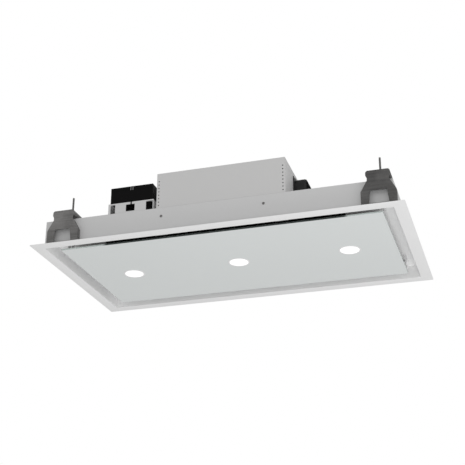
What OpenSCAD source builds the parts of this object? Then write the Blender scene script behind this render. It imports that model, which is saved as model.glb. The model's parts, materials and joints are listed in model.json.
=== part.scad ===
// Ceiling range hood with perimeter suction: a shallow plenum box set into a ceiling,
// a hinged glass panel with three spot lights under it, and a blower on top.
// The plane z = 0 is the back face of the flange, which bears on the ceiling.
// X runs along the length, the front long side faces -Y, and Z points up.

/* [Ceiling flange] */
// Length of the flange
flange_w = 900; // [820:10:1200]
// Depth of the flange
flange_d = 500; // [480:10:640]
// Thickness of the flange sheet
flange_t = 1.5; // [1:0.1:2.5]
// Width of the flange round the opening
flange_rim = 28.5; // [26:0.5:36]
// Radius of the flange's outer corners
flange_corner = 2; // [1:0.5:8]

/* [Recess tray] */
// Height of the recess ceiling over the flange's back face
recess_h = 32.5; // [31:0.5:45]
// Thickness of the recess sheet
recess_t = 0.8; // [0.6:0.1:1.5]
// Length of the filter opening
filter_open_w = 598; // [500:1:660]
// Depth of the filter opening
filter_open_d = 330; // [260:1:350]

/* [Plenum shell] */
// Height of the plenum over the flange's back face
shell_h = 68.5; // [66:0.5:110]
// Thickness of the shell sheet
shell_t = 1; // [0.8:0.1:2]
// Distance of the cross braces and their screws from the middle
brace_x = 125; // [110:1:135]
// Height of the brace screws over the flange's back face
brace_screw_z = 46.5; // [44:0.5:60]
// Thickness of the brace sheet
brace_t = 1.5; // [1:0.1:3]
// Width of a brace
brace_w = 16; // [12:1:24]

/* [Motor box] */
// Length of the motor box
box_w = 315.5; // [310:0.5:400]
// Depth of the motor box
box_d = 340; // [335:1:400]
// Height of the motor box over the plenum
box_h = 90.5; // [88:0.5:140]
// Thickness of the box sheet
box_t = 1; // [0.8:0.1:2]
// Distance of the box's middle from the middle of the hood
box_shift = 19.5; // [0:0.5:40]
// Depth of the box's foot at the back
box_foot = 14; // [12:1:24]
// Diameter of the vent holes
vent_d = 3; // [2:0.1:5]
// Distance between the vent holes
vent_pitch = 8.95; // [7:0.05:10]
// Number of vent holes in a column
vent_count = 8; // [4:1:9]
// Distance of a vent column from the box's edge
vent_inset = 5.5; // [4:0.5:12]
// Height of the lowest vent hole over the plenum
vent_rise = 6.6; // [5:0.1:12]

/* [Duct collar] */
// Outer width of the flat duct collar
duct_w = 204; // [180:1:220]
// Outer height of the flat duct collar
duct_h = 60; // [56:1:64]
// Length of the collar outside its rim
duct_len = 30; // [25:1:60]
// Wall of the collar
duct_wall = 2; // [1.5:0.1:3]
// Radius of the collar's outer corners
duct_corner = 8; // [4:1:12]
// Distance from the box's front face to the collar
duct_inset = 84.5; // [70:0.5:100]
// Height of the collar's underside over the plenum
duct_rise = 12; // [11:0.5:16]
// Width of the collar's rim
collar_rim = 7; // [6:0.5:10]
// Thickness of the collar's rim
collar_t = 2.5; // [2:0.1:4]
// Width of the stop that the flap rests on
flap_stop = 3; // [2:0.5:5]
// Thickness of the flap
flap_t = 3; // [2:0.1:4]
// Height of the weight bar along the flap's foot
flap_bar = 8; // [5:0.5:12]
// Radius of the flap's axle
flap_pin_r = 1.5; // [1:0.1:2]
// Radius of the flap's barrel round its axle
flap_barrel_r = 3; // [2.5:0.1:4]

/* [Blower] */
// Outer radius of the impeller
impeller_r = 85; // [75:1:88]
// Radial depth of the blades
blade_depth = 15; // [10:1:20]
// Number of blades
blade_count = 36; // [24:2:48]
// Thickness of a blade
blade_t = 1; // [0.8:0.1:1.6]
// Clearance between the impeller and the scroll's tongue
tongue_gap = 8; // [5:0.5:12]
// Growth of the scroll from its tongue to its outlet
scroll_growth = 42; // [30:1:45]
// Wall of the scroll
scroll_wall = 2; // [1.5:0.1:3]
// Radius of the inlet's throat
inlet_r = 64; // [50:1:66]
// Radius of the motor can
motor_r = 38; // [30:1:39]
// Radius of the motor shaft
shaft_r = 4; // [3:0.5:5]

/* [Control box] */
// Length of the control box
control_w = 108; // [95:1:125]
// Depth of the control box
control_d = 160; // [120:1:200]
// Height of the control box
control_h = 41.5; // [40:0.5:60]
// Wall of the control box
control_wall = 2; // [1.5:0.1:3]
// Height of the stand under the control box
stand_h = 26; // [22:0.5:40]
// Thickness of the stand sheet
stand_t = 1.2; // [0.8:0.1:2]
// Distance between the stand and the motor box
stand_gap = 7.8; // [5:0.1:30]
// Radius of the cable gland's bore
gland_bore_r = 3.5; // [3:0.5:5]
// Radius of the cable gland's threaded shank
gland_r = 8; // [7:0.5:9]

/* [Ceiling clamps] */
// Distance of the left clamps from the flange's left edge
clamp_inset_l = 78; // [74:1:120]
// Distance of the right clamps from the flange's right edge
clamp_inset_r = 58; // [55:1:120]
// Width of a clamp over its legs
clamp_w = 80; // [70:1:90]
// Height of a clamp
clamp_h = 87.2; // [86:0.1:110]
// Thickness of the clamp sheet
clamp_t = 1.8; // [1.2:0.1:2.5]
// Gap between the plenum and the clamp's front plate
clamp_gap = 12.7; // [10:0.1:18]
// Depth of the clamp's top fold
clamp_top_d = 68; // [60:1:80]
// Travel of a clamp on its rod, the thickest ceiling board
clamp_travel = 35; // [20:1:40]
// Distance of the rods from the plenum's long sides
rod_inset = 34.3; // [30:0.1:44]
// Height of the rods' tops over the flange's back face
rod_top = 142; // [135:1:180]
// Radius of a rod
rod_r = 2.5; // [2:0.1:3]

/* [Glass panel] */
// Gap between the panel and the opening, through which the air is drawn
suction_gap_w = 28.5; // [24:0.5:34]
// The same gap on the long sides
suction_gap_d = 27; // [24:0.5:34]
// Height of the glass's face over the flange's back face
glass_z = 1.5; // [1:0.1:4]
// Thickness of the glass
glass_t = 4; // [3:0.1:5]
// Corner radius of the glass
glass_corner = 3; // [1:0.5:8]
// Distance from the glass's ends to the backing tray
tray_inset = 15; // [14:0.5:20]
// The same distance at the front and the back, where the filters are seen past the tray
tray_inset_d = 34.5; // [32:0.5:45]
// Height of the backing tray
tray_h = 12; // [8:0.5:13]
// Thickness of the backing tray's sheet
tray_t = 1; // [0.8:0.1:1.5]
// Distance between the spot lights
spot_pitch = 280; // [200:5:300]
// Radius of a spot light's lens
spot_r = 23.5; // [18:0.5:26]
// Width of a spot light's rim
spot_rim = 4; // [3:0.5:6]

/* [Panel hinges and catches] */
// Distance of the hinge axis from the glass's back edge
hinge_inset = 16.5; // [15:0.1:17]
// Height of the hinge axis over the flange's back face
hinge_z = 15; // [14.5:0.1:15.5]
// Radius of a hinge pin
hinge_pin_r = 2.5; // [2:0.1:3]
// Thickness of a hinge arm
hinge_arm_t = 3; // [2:0.1:4]
// Thickness of a hinge ear
hinge_ear_t = 1.8; // [1.5:0.1:2.2]
// Radius of a catch stud's head
catch_r = 3.5; // [3:0.1:4]

/* [Grease filters] */
// Height of a filter frame
filter_h = 9; // [7:0.5:12]
// Width of a filter frame's bars
filter_bar = 24; // [20:1:30]
// Travel of a filter latch
latch_travel = 5; // [4:0.5:6]
// Width of a filter latch
latch_w = 38; // [30:1:50]
// Columns of openings in a filter mesh
mesh_columns = 11; // [6:1:11]
// Rows of openings in a filter mesh
mesh_rows = 13; // [6:1:13]

/* [Hidden] */
$fn = 64;

// Shared clearances: how far cuts run over, a close fit, and a seat that must not touch
overrun = 1;
fit = 0.05;
seat = 0.3;

// The opening, the tray and the shell, from the inside out
open_w = flange_w - 2 * flange_rim;
open_d = flange_d - 2 * flange_rim;
tray_out_w = open_w + 2 * recess_t;
tray_out_d = open_d + 2 * recess_t;
shell_w = tray_out_w + 2 * shell_t;
shell_d = tray_out_d + 2 * shell_t;
shell_front = -shell_d / 2;

// Motor box
box_x0 = box_shift - box_w / 2;
box_x1 = box_shift + box_w / 2;
box_y0 = shell_front;
box_y1 = box_y0 + box_d;
box_top = shell_h + box_h;

// Duct collar: y0..y1 and z0..z1 are the outside of its tube
duct_y0 = box_y0 + duct_inset;
duct_y1 = duct_y0 + duct_w;
duct_yc = (duct_y0 + duct_y1) / 2;
duct_z0 = shell_h + duct_rise;
duct_z1 = duct_z0 + duct_h;
duct_zc = (duct_z0 + duct_z1) / 2;
duct_x1 = box_x1 + duct_len;
flap_x = box_x1 + collar_t + seat + flap_t / 2;
flap_z = duct_z1 - duct_wall - flap_stop - flap_barrel_r - seat;
flap_gap = 1;
rim_corner = 4;

// Blower: the scroll fills the height of the collar and its outlet runs to the collar
scroll_start = impeller_r + tongue_gap;
scroll_end = scroll_start + scroll_growth;
scroll_z0 = duct_z0;
scroll_z1 = duct_z1;
scroll_y = duct_y1 - duct_wall - scroll_end;
scroll_sweep = 300;
tongue_turn = 9;
scroll_side = scroll_end - scroll_growth * 90 / scroll_sweep;
scroll_margin = 3;
scroll_x = box_x0 + box_t + scroll_margin + scroll_wall + scroll_side;
scroll_x1 = box_x1 - box_t - seat;
tongue = [scroll_x, scroll_y] + scroll_start * [cos(90 + scroll_sweep), sin(90 + scroll_sweep)];
flare_foot = [scroll_x1 - duct_corner, duct_y0 + duct_wall];
flare_side = [flare_foot[1] - tongue[1], tongue[0] - flare_foot[0]] / norm(flare_foot - tongue);
impeller_gap = 2;
impeller_z0 = scroll_z0 + scroll_wall + impeller_gap;
impeller_z1 = scroll_z1 - scroll_wall - impeller_gap;
dish_t = 2;
dish_z = impeller_z0 + (impeller_z1 - impeller_z0) / 3;
dish_r = motor_r + 2 * impeller_gap;
ring_t = 1.5;
ring_w = 7;
hub_r = 3 * shaft_r;
hub_h = 9;
motor_z0 = dish_z + dish_t + impeller_gap;
bush_h = 4;
bush_r = 4;
bush_z = scroll_z1;
motor_flange_z = bush_z + bush_h;
motor_flange_t = 2.5;
motor_flange_r = motor_r + 3 * bush_r;
bush_circle_r = motor_r + 2 * bush_r;
motor_cap_h = 8;
motor_cap_r = motor_r * 0.8;
motor_screw_r = 1.5;
bearing_r = 11;
bearing_h = 6;
shaft_z0 = dish_z - hub_h;
shaft_z1 = motor_flange_z - bearing_h / 2;
inlet_wall = 2.5;
inlet_flange = 22;
inlet_lip = 3.5;
bell_r = 9;

// Control box and its stand, to the left of the motor box
stand_side = 2.5;
control_x1 = box_x0 - stand_gap - stand_side;
control_x0 = control_x1 - control_w;
control_xc = (control_x0 + control_x1) / 2;
control_y0 = shell_front + seat;
control_y1 = control_y0 + control_d;
control_z0 = shell_h + stand_h;
control_z1 = control_z0 + control_h;
stand_x0 = control_x0 - 2 * stand_side;
stand_x1 = control_x1 + stand_side;
stand_y0 = shell_front;
stand_y1 = control_y1;
stand_foot = 12;
stand_seat = 8;
// Each cut-out's left edge and width as shares of the width, its foot and top as shares of the height
stand_cut_shares = [[0.05, 0.105, 0, 0.885], [0.394, 0.196, 0.08, 0.77], [0.839, 0.15, 0, 0.885]];
lid_h = 9;
clip_w = 7.4;
board_rise = 5;
board_t = 1.6;
board_z = control_z0 + control_wall + board_rise;
post_r = 3;
board_inset = 6;
gland_y_share = 0.62;
gland_y = control_y0 + control_d * gland_y_share;
gland_z = control_z1 - lid_h - gland_r - control_wall / 2;
gland_hex_t = 5;
gland_dome = 12;
gland_inside = 8;
gland_nut_t = 3;
gland_hex_r = gland_r * 1.4;

// Screw heads shared by the sheet metal
screw_r = 2;
screw_head_r = 3.2;
screw_head_h = 1.8;
screw_len = 7;

// Ceiling clamps: places of the rods, and the outline of the front plate
clamp_x = [-flange_w / 2 + clamp_inset_l, flange_w / 2 - clamp_inset_r];
rod_y = shell_d / 2 - rod_inset;
clamp_face = shell_d / 2 + clamp_gap;
clamp_z0 = seat;
clamp_z1 = clamp_z0 + clamp_h;
top_half_share = 0.345;
neck_half_share = 0.31;
neck_z_share = 0.76;
flare_z_share = 0.415;
window_top_share = 0.435;
window_top_half_share = 0.242;
window_foot_half_share = 0.285;
foot_bar = 6.2;
shoulder_r = 6;
clamp_lip = 8;
clamp_edge_h = 7;
rod_nut_r = 4.6;
rod_nut_h = 4;
nut_flange_r = 6;
nut_flange_h = 1.2;

// Glass panel
panel_w = open_w - 2 * suction_gap_w;
panel_d = open_d - 2 * suction_gap_d;
glass_z1 = glass_z + glass_t;
tray_w = panel_w - 2 * tray_inset;
tray_d = panel_d - 2 * tray_inset_d;
spots = [for (i = [-1:1]) i * spot_pitch];
spot_hole_r = spot_r + spot_rim / 2;
spot_proud = 0.5;
lens_t = 2;
module_r = spot_r;
module_h = 13;
fin_t = 1.5;
fin_gap = 2.5;

// Hinges and catches stand beside the backing tray, over the edge of the glass
hinge_y = panel_d / 2 - hinge_inset;
hinge_axis_h = hinge_z - glass_z1;
ear_lift = 1.5;
ear_r = hinge_axis_h - ear_lift;
eye_r = ear_r - ear_lift;
hinge_side = 0.5;
ear_side = 5.5;
ear_x0 = tray_w / 2 + ear_side;
arm_x0 = ear_x0 + hinge_ear_t + hinge_side;
arm_x1 = arm_x0 + hinge_arm_t;
ear_x1 = arm_x1 + hinge_side;
hinge_base_t = 2;
hinge_base_d = 46;
hinge_base_side = 3.5;
hinge_lip = 8.5;
hinge_base_y = hinge_y + ear_r - hinge_base_d;
arm_foot_t = 2.5;
arm_reach = 36;
arm_foot_d = 18;
pin_head_t = 1.5;
pin_head_r = hinge_pin_r + pin_head_t;
catch_x = (ear_x0 + ear_x1 + hinge_ear_t) / 2;
catch_stem_r = 2;
catch_rise = 8;
catch_z = hinge_z + catch_rise;
clip_t = 1.5;
clip_d = 12;
catch_y = clip_d / 2 - tray_d / 2;
clip_drop = 12;

// Grease filters, side by side in their opening
filter_gap = 1;
filter_w = filter_open_w / 2 - 1.5 * filter_gap;
filter_d = filter_open_d - 3 * filter_gap;
filter_x = filter_open_w / 4;
filter_z0 = recess_h - 0.7 * filter_gap;
filter_z1 = filter_z0 + filter_h;
filter_inner_w = filter_w - 2 * filter_bar;
filter_inner_d = filter_d - 2 * filter_bar;
mesh_t = 3;
ledge_t = 2.5;
mesh_z0 = filter_z0 + ledge_t;
mesh_strand = 3;
ledge = 2;
tongue_w = 30;
tongue_t = 1.5;
tongue_reach = 6;
ledge_z = recess_h + recess_t + seat;
latch_t = 3;
latch_reach = 4;
latch_tab = 3;
latch_slot = 12;
latch_wall = 2.5;
latch_y0 = -filter_d / 2 + latch_wall;
latch_tab_y = latch_y0 + latch_slot / 2;

// Draws a block between two corners.
module block(x, y, z) {
    translate([x[0], y[0], z[0]]) cube([x[1] - x[0], y[1] - y[0], z[1] - z[0]]);
}

// A rectangle round the origin whose corners are true arcs.
module rounded(w, d, r) {
    square([w - 2 * r, d], center = true);
    square([w, d - 2 * r], center = true);
    for (sx = [-1, 1], sy = [-1, 1])
        translate([sx * (w / 2 - r), sy * (d / 2 - r)]) circle(r);
}

// A sheet-metal screw at the origin, its head on top and its shank down -Z.
module sheet_screw(shank = screw_len) {
    translate([0, 0, -shank]) cylinder(r = screw_r - fit, h = shank);
    difference() {
        cylinder(r1 = screw_head_r, r2 = screw_head_r * 0.7, h = screw_head_h);
        translate([0, 0, screw_head_h / 2]) {
            for (turn = [0, 90])
                rotate(turn) translate([-screw_r, -screw_r / 6, 0]) cube([2 * screw_r, screw_r / 3, overrun]);
        }
    }
}

// A hexagonal nut with a bore, standing on the origin.
module hex_nut(across_r, h, bore_r) {
    difference() {
        cylinder(r = across_r, h = h, $fn = 6);
        translate([0, 0, -overrun]) cylinder(r = bore_r, h = h + 2 * overrun);
    }
}

// The flat painted ring that shows below the ceiling.
module flange_frame() {
    color([0.83, 0.83, 0.83])
    translate([0, 0, -flange_t]) linear_extrude(flange_t) difference() {
        rounded(flange_w, flange_d, flange_corner);
        square([open_w, open_d], center = true);
    }
}

// The recess behind the glass panel: four walls, and a ceiling with the filter opening.
module recess_tray() {
    color([0.78, 0.78, 0.78]) {
        linear_extrude(recess_h) difference() {
            square([tray_out_w, tray_out_d], center = true);
            square([open_w, open_d], center = true);
        }
        translate([0, 0, recess_h]) linear_extrude(recess_t) difference() {
            square([tray_out_w, tray_out_d], center = true);
            square([filter_open_w, filter_open_d], center = true);
        }
    }
}

// Places of the brace screws on the two long sides; the child points its head outwards.
module at_brace_screws() {
    for (sx = [-1, 1], sy = [-1, 1])
        translate([sx * brace_x, sy * shell_d / 2, brace_screw_z]) rotate([-90 * sy, 0, 0]) children();
}

// The outer box over the recess, open below, with the blower's inlet in its top.
module plenum_shell() {
    color([0.74, 0.74, 0.74]) difference() {
        translate([0, 0, shell_h / 2]) cube([shell_w, shell_d, shell_h], center = true);
        translate([0, 0, (shell_h - shell_t) / 2 - overrun / 2])
            cube([tray_out_w, tray_out_d, shell_h - shell_t + overrun], center = true);
        translate([scroll_x, scroll_y, shell_h - shell_t - overrun])
            cylinder(r = inlet_r + bell_r, h = shell_t + 2 * overrun);
        at_brace_screws() translate([0, 0, -shell_t - overrun]) cylinder(r = screw_r, h = shell_t + 2 * overrun);
    }
}

// Two angle braces under the plenum's top, with a tab at each end for a screw.
module plenum_braces() {
    brace_z1 = shell_h - shell_t;
    brace_z0 = brace_screw_z - 2 * screw_r;
    color([0.62, 0.63, 0.64]) difference() {
        for (sx = [-1, 1]) {
            side = sx * brace_x;
            block([side - brace_t / 2, side + brace_t / 2], [-tray_out_d / 2, tray_out_d / 2],
                [brace_z0 + brace_w / 2, brace_z1]);
            block([side - brace_w / 2, side + brace_w / 2], [-tray_out_d / 2, tray_out_d / 2],
                [brace_z1 - brace_t, brace_z1]);
            for (sy = [-1, 1])
                translate([side, sy * (tray_out_d - brace_t) / 2, (brace_z0 + brace_z1) / 2])
                    cube([brace_w, brace_t, brace_z1 - brace_z0], center = true);
        }
        at_brace_screws() translate([0, 0, -screw_len]) cylinder(r = screw_r, h = screw_len);
    }
}

// The four screws that hold the braces.
module plenum_screws() {
    color([0.45, 0.45, 0.46]) at_brace_screws() sheet_screw(screw_len - brace_t);
}

// Draws a column of vent holes through the wall at y.
module vent_columns(y) {
    for (x = [box_x0 + vent_inset, box_x1 - vent_inset], i = [0:vent_count - 1])
        translate([x, y, shell_h + vent_rise + i * vent_pitch])
            rotate([90, 0, 0]) cylinder(d = vent_d, h = box_t + 2 * overrun, center = true, $fn = 24);
}

// The places of the screws in the box's foot.
foot_screws = [for (i = [-1:1]) [box_shift + i * box_w * 0.4, box_y1 + box_foot / 2]];

// The folded cover over the blower, with two vent columns in its front and back.
module motor_box() {
    color([0.75, 0.75, 0.75]) difference() {
        union() {
            block([box_x0, box_x1], [box_y0, box_y1], [shell_h, box_top]);
            block([box_x0, box_x1], [box_y1 - box_t, box_y1 + box_foot], [shell_h, shell_h + box_t]);
        }
        block([box_x0 + box_t, box_x1 - box_t], [box_y0 + box_t, box_y1 - box_t],
            [shell_h - overrun, box_top - box_t]);
        vent_columns(box_y0 + box_t / 2);
        vent_columns(box_y1 - box_t / 2);
        translate([box_x1 - box_t - overrun, duct_yc, duct_zc]) rotate([90, 0, 90])
            linear_extrude(box_t + 2 * overrun) rounded(duct_w, duct_h, duct_corner);
        for (p = foot_screws) translate([p[0], p[1], shell_h - overrun])
            cylinder(r = screw_r, h = box_t + 2 * overrun);
    }
}

// The three screws in the box's foot.
module box_screws() {
    color([0.6, 0.6, 0.62])
    for (p = foot_screws) translate([p[0], p[1], shell_h + box_t]) sheet_screw(box_t);
}

// The corners of the collar's rim, where its screws stand.
module at_collar_screws() {
    for (sy = [-1, 1], sz = [-1, 1])
        translate([box_x1 + collar_t, duct_yc + sy * (duct_w + collar_rim) / 2, duct_zc + sz * (duct_h + collar_rim) / 2])
            rotate([0, 90, 0]) children();
}

// The flat duct collar: a rim on the box's side, a stop for the flap, and the tube.
module duct_collar() {
    color([0.14, 0.14, 0.15]) difference() {
        union() {
            translate([box_x1, duct_yc, duct_zc]) rotate([90, 0, 90])
                linear_extrude(collar_t) rounded(duct_w + 2 * collar_rim, duct_h + 2 * collar_rim, rim_corner);
            translate([box_x1, duct_yc, duct_zc]) rotate([90, 0, 90])
                linear_extrude(duct_len) rounded(duct_w, duct_h, duct_corner);
        }
        translate([box_x1 + collar_t, duct_yc, duct_zc]) rotate([90, 0, 90])
            linear_extrude(duct_len) rounded(duct_w - 2 * duct_wall, duct_h - 2 * duct_wall, duct_corner - duct_wall);
        translate([box_x1 - overrun, duct_yc, duct_zc]) rotate([90, 0, 90])
            linear_extrude(duct_len) rounded(duct_w - 2 * duct_wall - 2 * flap_stop,
                duct_h - 2 * duct_wall - 2 * flap_stop, duct_corner - duct_wall);
        translate([flap_x, duct_yc, flap_z]) rotate([90, 0, 0])
            cylinder(r = flap_pin_r + fit, h = duct_w + 2 * overrun, center = true);
        at_collar_screws() translate([0, 0, -collar_t - overrun]) cylinder(r = screw_r, h = collar_t + 2 * overrun);
    }
}

// The four screws in the collar's rim.
module collar_screws() {
    color([0.72, 0.72, 0.73]) at_collar_screws() sheet_screw(collar_t);
}

// The back-draught flap: it hangs from an axle, and a bar along its foot weighs it shut.
module backdraft_flap() {
    flap_w = duct_w - 2 * duct_wall - 2 * flap_gap;
    barrel_w = duct_w - 2 * duct_wall - 2 * flap_stop - 2 * duct_corner;
    bar_w = flap_w - 2 * duct_corner;
    flap_z0 = duct_z0 + duct_wall + flap_gap;
    color([0.17, 0.17, 0.18]) {
        translate([flap_x, duct_yc, flap_z]) rotate([90, 0, 0]) {
            cylinder(r = flap_barrel_r, h = barrel_w, center = true);
            cylinder(r = flap_pin_r, h = duct_w, center = true);
        }
        difference() {
            block([flap_x - flap_t / 2, flap_x + flap_t / 2], [duct_yc - flap_w / 2, duct_yc + flap_w / 2], [flap_z0, flap_z]);
            for (sy = [-1, 1])
                translate([flap_x, duct_yc + sy * flap_w / 2, flap_z0]) rotate([45, 0, 0]) cube(duct_corner, center = true);
        }
        block([flap_x, flap_x + flap_t / 2 + flap_bar / 2], [duct_yc - bar_w / 2, duct_yc + bar_w / 2],
            [flap_z0, flap_z0 + flap_bar]);
        for (i = [-2:2])
            block([flap_x, flap_x + flap_t], [duct_yc + i * bar_w / 5 - flap_t / 2, duct_yc + i * bar_w / 5 + flap_t / 2],
                [flap_z0, flap_z]);
    }
}

// The scroll's outline, grown by a wall: a spiral to the tongue, and a flare to the collar.
module scroll_outline(wall) {
    last = scroll_sweep - (wall > 0 ? tongue_turn : 0);
    side_y = duct_y0 + duct_wall - wall;
    polygon(concat(
        [for (i = [0:60]) let (turn = i * last / 60, r = scroll_end + wall - scroll_growth * turn / scroll_sweep)
            [scroll_x, scroll_y] + r * [cos(90 + turn), sin(90 + turn)]],
        [flare_foot + wall * flare_side, [scroll_x1 - duct_corner, side_y], [scroll_x1, side_y],
            [scroll_x1, scroll_y + scroll_end + wall]]));
}

// The scroll's floor and wall, with the inlet in the floor.
module scroll_housing() {
    color([0.2, 0.2, 0.21]) {
        translate([0, 0, scroll_z0]) linear_extrude(scroll_wall) difference() {
            scroll_outline(scroll_wall);
            translate([scroll_x, scroll_y]) circle(inlet_r + inlet_wall + seat);
        }
        translate([0, 0, scroll_z0 + scroll_wall - fit]) linear_extrude(scroll_z1 - scroll_z0 - 2 * scroll_wall + fit) {
            difference() {
                scroll_outline(scroll_wall);
                scroll_outline(0);
            }
            translate(tongue + scroll_wall * flare_side / 2) circle(scroll_wall, $fn = 24);
        }
    }
}

// The places of the motor's rubber bushes.
module at_bushes() {
    for (turn = [0:120:240])
        translate([scroll_x, scroll_y, 0]) rotate(turn) translate([bush_circle_r, 0, 0]) children();
}

// The scroll's lid, with the hole that the motor hangs through.
module scroll_cover() {
    color([0.2, 0.2, 0.21]) difference() {
        translate([0, 0, scroll_z1 - scroll_wall]) linear_extrude(scroll_wall) difference() {
            scroll_outline(scroll_wall);
            translate([scroll_x, scroll_y]) circle(motor_r + impeller_gap);
        }
        at_bushes() translate([0, 0, scroll_z1 - scroll_wall - overrun])
            cylinder(r = motor_screw_r + fit, h = scroll_wall + 2 * overrun, $fn = 24);
    }
}

// The bell-mouthed ring between the plenum's top and the scroll's floor.
module inlet_ring() {
    color([0.3, 0.3, 0.32]) translate([scroll_x, scroll_y, 0]) rotate_extrude() {
        difference() {
            translate([inlet_r, shell_h]) square([inlet_flange, bell_r]);
            translate([inlet_r + bell_r + inlet_wall, shell_h + bell_r + inlet_wall]) circle(bell_r);
            translate([inlet_r + bell_r + inlet_wall, shell_h + inlet_wall]) square([inlet_flange, bell_r]);
        }
        translate([inlet_r, shell_h]) square([inlet_wall, scroll_z0 + inlet_lip - shell_h]);
        translate([inlet_r, scroll_z0 - inlet_wall]) square([bell_r, inlet_wall]);
    }
}

// The motor: a can in the impeller's dish, a flange on the bushes, and an end cap.
module motor_body() {
    bore_r = shaft_r * 1.25;
    lower_z = motor_z0 + bearing_h;
    upper_z = shaft_z1 - bearing_h;
    flange_z1 = motor_flange_z + motor_flange_t;
    color([0.66, 0.67, 0.68]) translate([scroll_x, scroll_y, 0]) difference() {
        rotate_extrude() polygon([
            [bearing_r + fit, motor_z0], [motor_r, motor_z0], [motor_r, motor_flange_z],
            [motor_flange_r, motor_flange_z], [motor_flange_r, flange_z1], [motor_cap_r, flange_z1],
            [motor_cap_r * 0.85, motor_flange_z + motor_cap_h], [0, motor_flange_z + motor_cap_h],
            [0, shaft_z1 + overrun], [bore_r, shaft_z1 + overrun], [bore_r, shaft_z1], [bearing_r + fit, shaft_z1],
            [bearing_r + fit, upper_z], [bore_r, upper_z], [bore_r, lower_z], [bearing_r + fit, lower_z]]);
        for (turn = [0:120:240]) rotate(turn) translate([bush_circle_r, 0, motor_flange_z - overrun])
            cylinder(r = motor_screw_r + fit, h = motor_flange_t + 2 * overrun, $fn = 24);
    }
}

// The two ball bearings in the motor, drawn as closed rings.
module motor_bearings() {
    color([0.8, 0.8, 0.82]) for (z = [motor_z0, shaft_z1 - bearing_h])
        translate([scroll_x, scroll_y, z]) difference() {
            cylinder(r = bearing_r, h = bearing_h);
            translate([0, 0, -overrun]) cylinder(r = shaft_r + fit, h = bearing_h + 2 * overrun);
        }
}

// The rubber bushes that the motor hangs on.
module motor_bushes() {
    color([0.1, 0.1, 0.1]) at_bushes() translate([0, 0, bush_z]) difference() {
        cylinder(r = bush_r, h = bush_h, $fn = 32);
        translate([0, 0, -overrun]) cylinder(r = motor_screw_r + fit, h = bush_h + 2 * overrun, $fn = 24);
    }
}

// The three screws through the motor's flange and its bushes.
module motor_screws() {
    color([0.7, 0.7, 0.72]) at_bushes() {
        translate([0, 0, bush_z - scroll_wall])
            cylinder(r = motor_screw_r, h = scroll_wall + bush_h + motor_flange_t, $fn = 24);
        translate([0, 0, motor_flange_z + motor_flange_t])
            cylinder(r = 2 * motor_screw_r, h = 2 * motor_screw_r, $fn = 24);
    }
}

// One forward-curved blade: the part of a thin ring that lies in the blade annulus.
module blade() {
    bend_r = blade_depth;
    mid_r = impeller_r - blade_depth / 2;
    intersection() {
        difference() {
            circle(impeller_r - fit);
            circle(impeller_r - blade_depth);
        }
        translate([mid_r, bend_r * 0.8]) difference() {
            circle(bend_r);
            circle(bend_r - blade_t);
        }
        translate([impeller_r - 1.2 * blade_depth, -bend_r / 2]) square([1.4 * blade_depth, bend_r]);
    }
}

// The impeller: a dished hub, two rings, and the blades between them.
module impeller() {
    blade_z0 = impeller_z0 + ring_t;
    blade_z1 = impeller_z1 - dish_t;
    rim_r = impeller_r - 1.2 * blade_depth;
    color([0.25, 0.26, 0.28]) translate([scroll_x, scroll_y, 0]) {
        rotate_extrude() {
            translate([impeller_r - ring_w, impeller_z0]) square([ring_w, ring_t]);
            polygon([
                [impeller_r, blade_z1], [rim_r, blade_z1], [dish_r + dish_t, dish_z],
                [shaft_r + fit, dish_z], [shaft_r + fit, dish_z + dish_t],
                [dish_r, dish_z + dish_t], [rim_r - dish_t, impeller_z1], [impeller_r, impeller_z1]]);
            translate([shaft_r + fit, dish_z - hub_h / 2]) square([hub_r - shaft_r, hub_h / 2]);
        }
        translate([0, 0, blade_z0]) linear_extrude(blade_z1 - blade_z0)
            for (i = [0:blade_count - 1]) rotate(i * 360 / blade_count) blade();
    }
}

// The motor's shaft, which carries the impeller.
module motor_shaft() {
    color([0.75, 0.75, 0.77]) translate([scroll_x, scroll_y, shaft_z0])
        cylinder(r = shaft_r, h = shaft_z1 - shaft_z0);
}

// The nut that holds the impeller on the shaft.
module impeller_nut() {
    color([0.7, 0.7, 0.72]) translate([scroll_x, scroll_y, dish_z - hub_h])
        hex_nut(2 * shaft_r, hub_h / 2, shaft_r + fit);
}

// The places of the screws in the stand's feet.
stand_screw_y = [stand_y0 + (stand_y1 - stand_y0) / 4, stand_y1 - (stand_y1 - stand_y0) / 4];

// The folded stand under the control box: a front wall with three cut-outs, sides and a top.
module control_stand() {
    width = stand_x1 - stand_x0;
    stand_z1 = shell_h + stand_h;
    color([0.86, 0.86, 0.86]) difference() {
        union() {
            block([stand_x0, stand_x1], [stand_y0, stand_y1], [shell_h, stand_z1]);
            block([stand_x0 - stand_foot, stand_x0 + stand_t], [stand_y0 + stand_foot, stand_y1],
                [shell_h, shell_h + stand_t]);
        }
        block([stand_x0 + stand_t, stand_x1 - stand_t], [stand_y0 + stand_t, stand_y1 + overrun],
            [shell_h - overrun, stand_z1 - stand_t]);
        block([stand_x0 + stand_seat, stand_x1 - stand_seat], [stand_y0 + stand_seat, stand_y1 - stand_seat],
            [stand_z1 - stand_t - overrun, stand_z1 + overrun]);
        for (cut = stand_cut_shares)
            translate([stand_x0 + cut[0] * width, stand_y0 - overrun, shell_h + cut[2] * stand_h - (cut[2] == 0 ? overrun : 0)])
                cube([cut[1] * width, stand_t + 2 * overrun, (cut[3] - cut[2]) * stand_h + (cut[2] == 0 ? overrun : 0)]);
        for (y = stand_screw_y) translate([stand_x0 - stand_foot / 2, y, shell_h - overrun])
            cylinder(r = screw_r, h = stand_t + 2 * overrun);
    }
}

// The two screws in the stand's foot.
module stand_screws() {
    color([0.6, 0.6, 0.62]) for (y = stand_screw_y)
        translate([stand_x0 - stand_foot / 2, y, shell_h + stand_t]) sheet_screw(stand_t);
}

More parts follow.
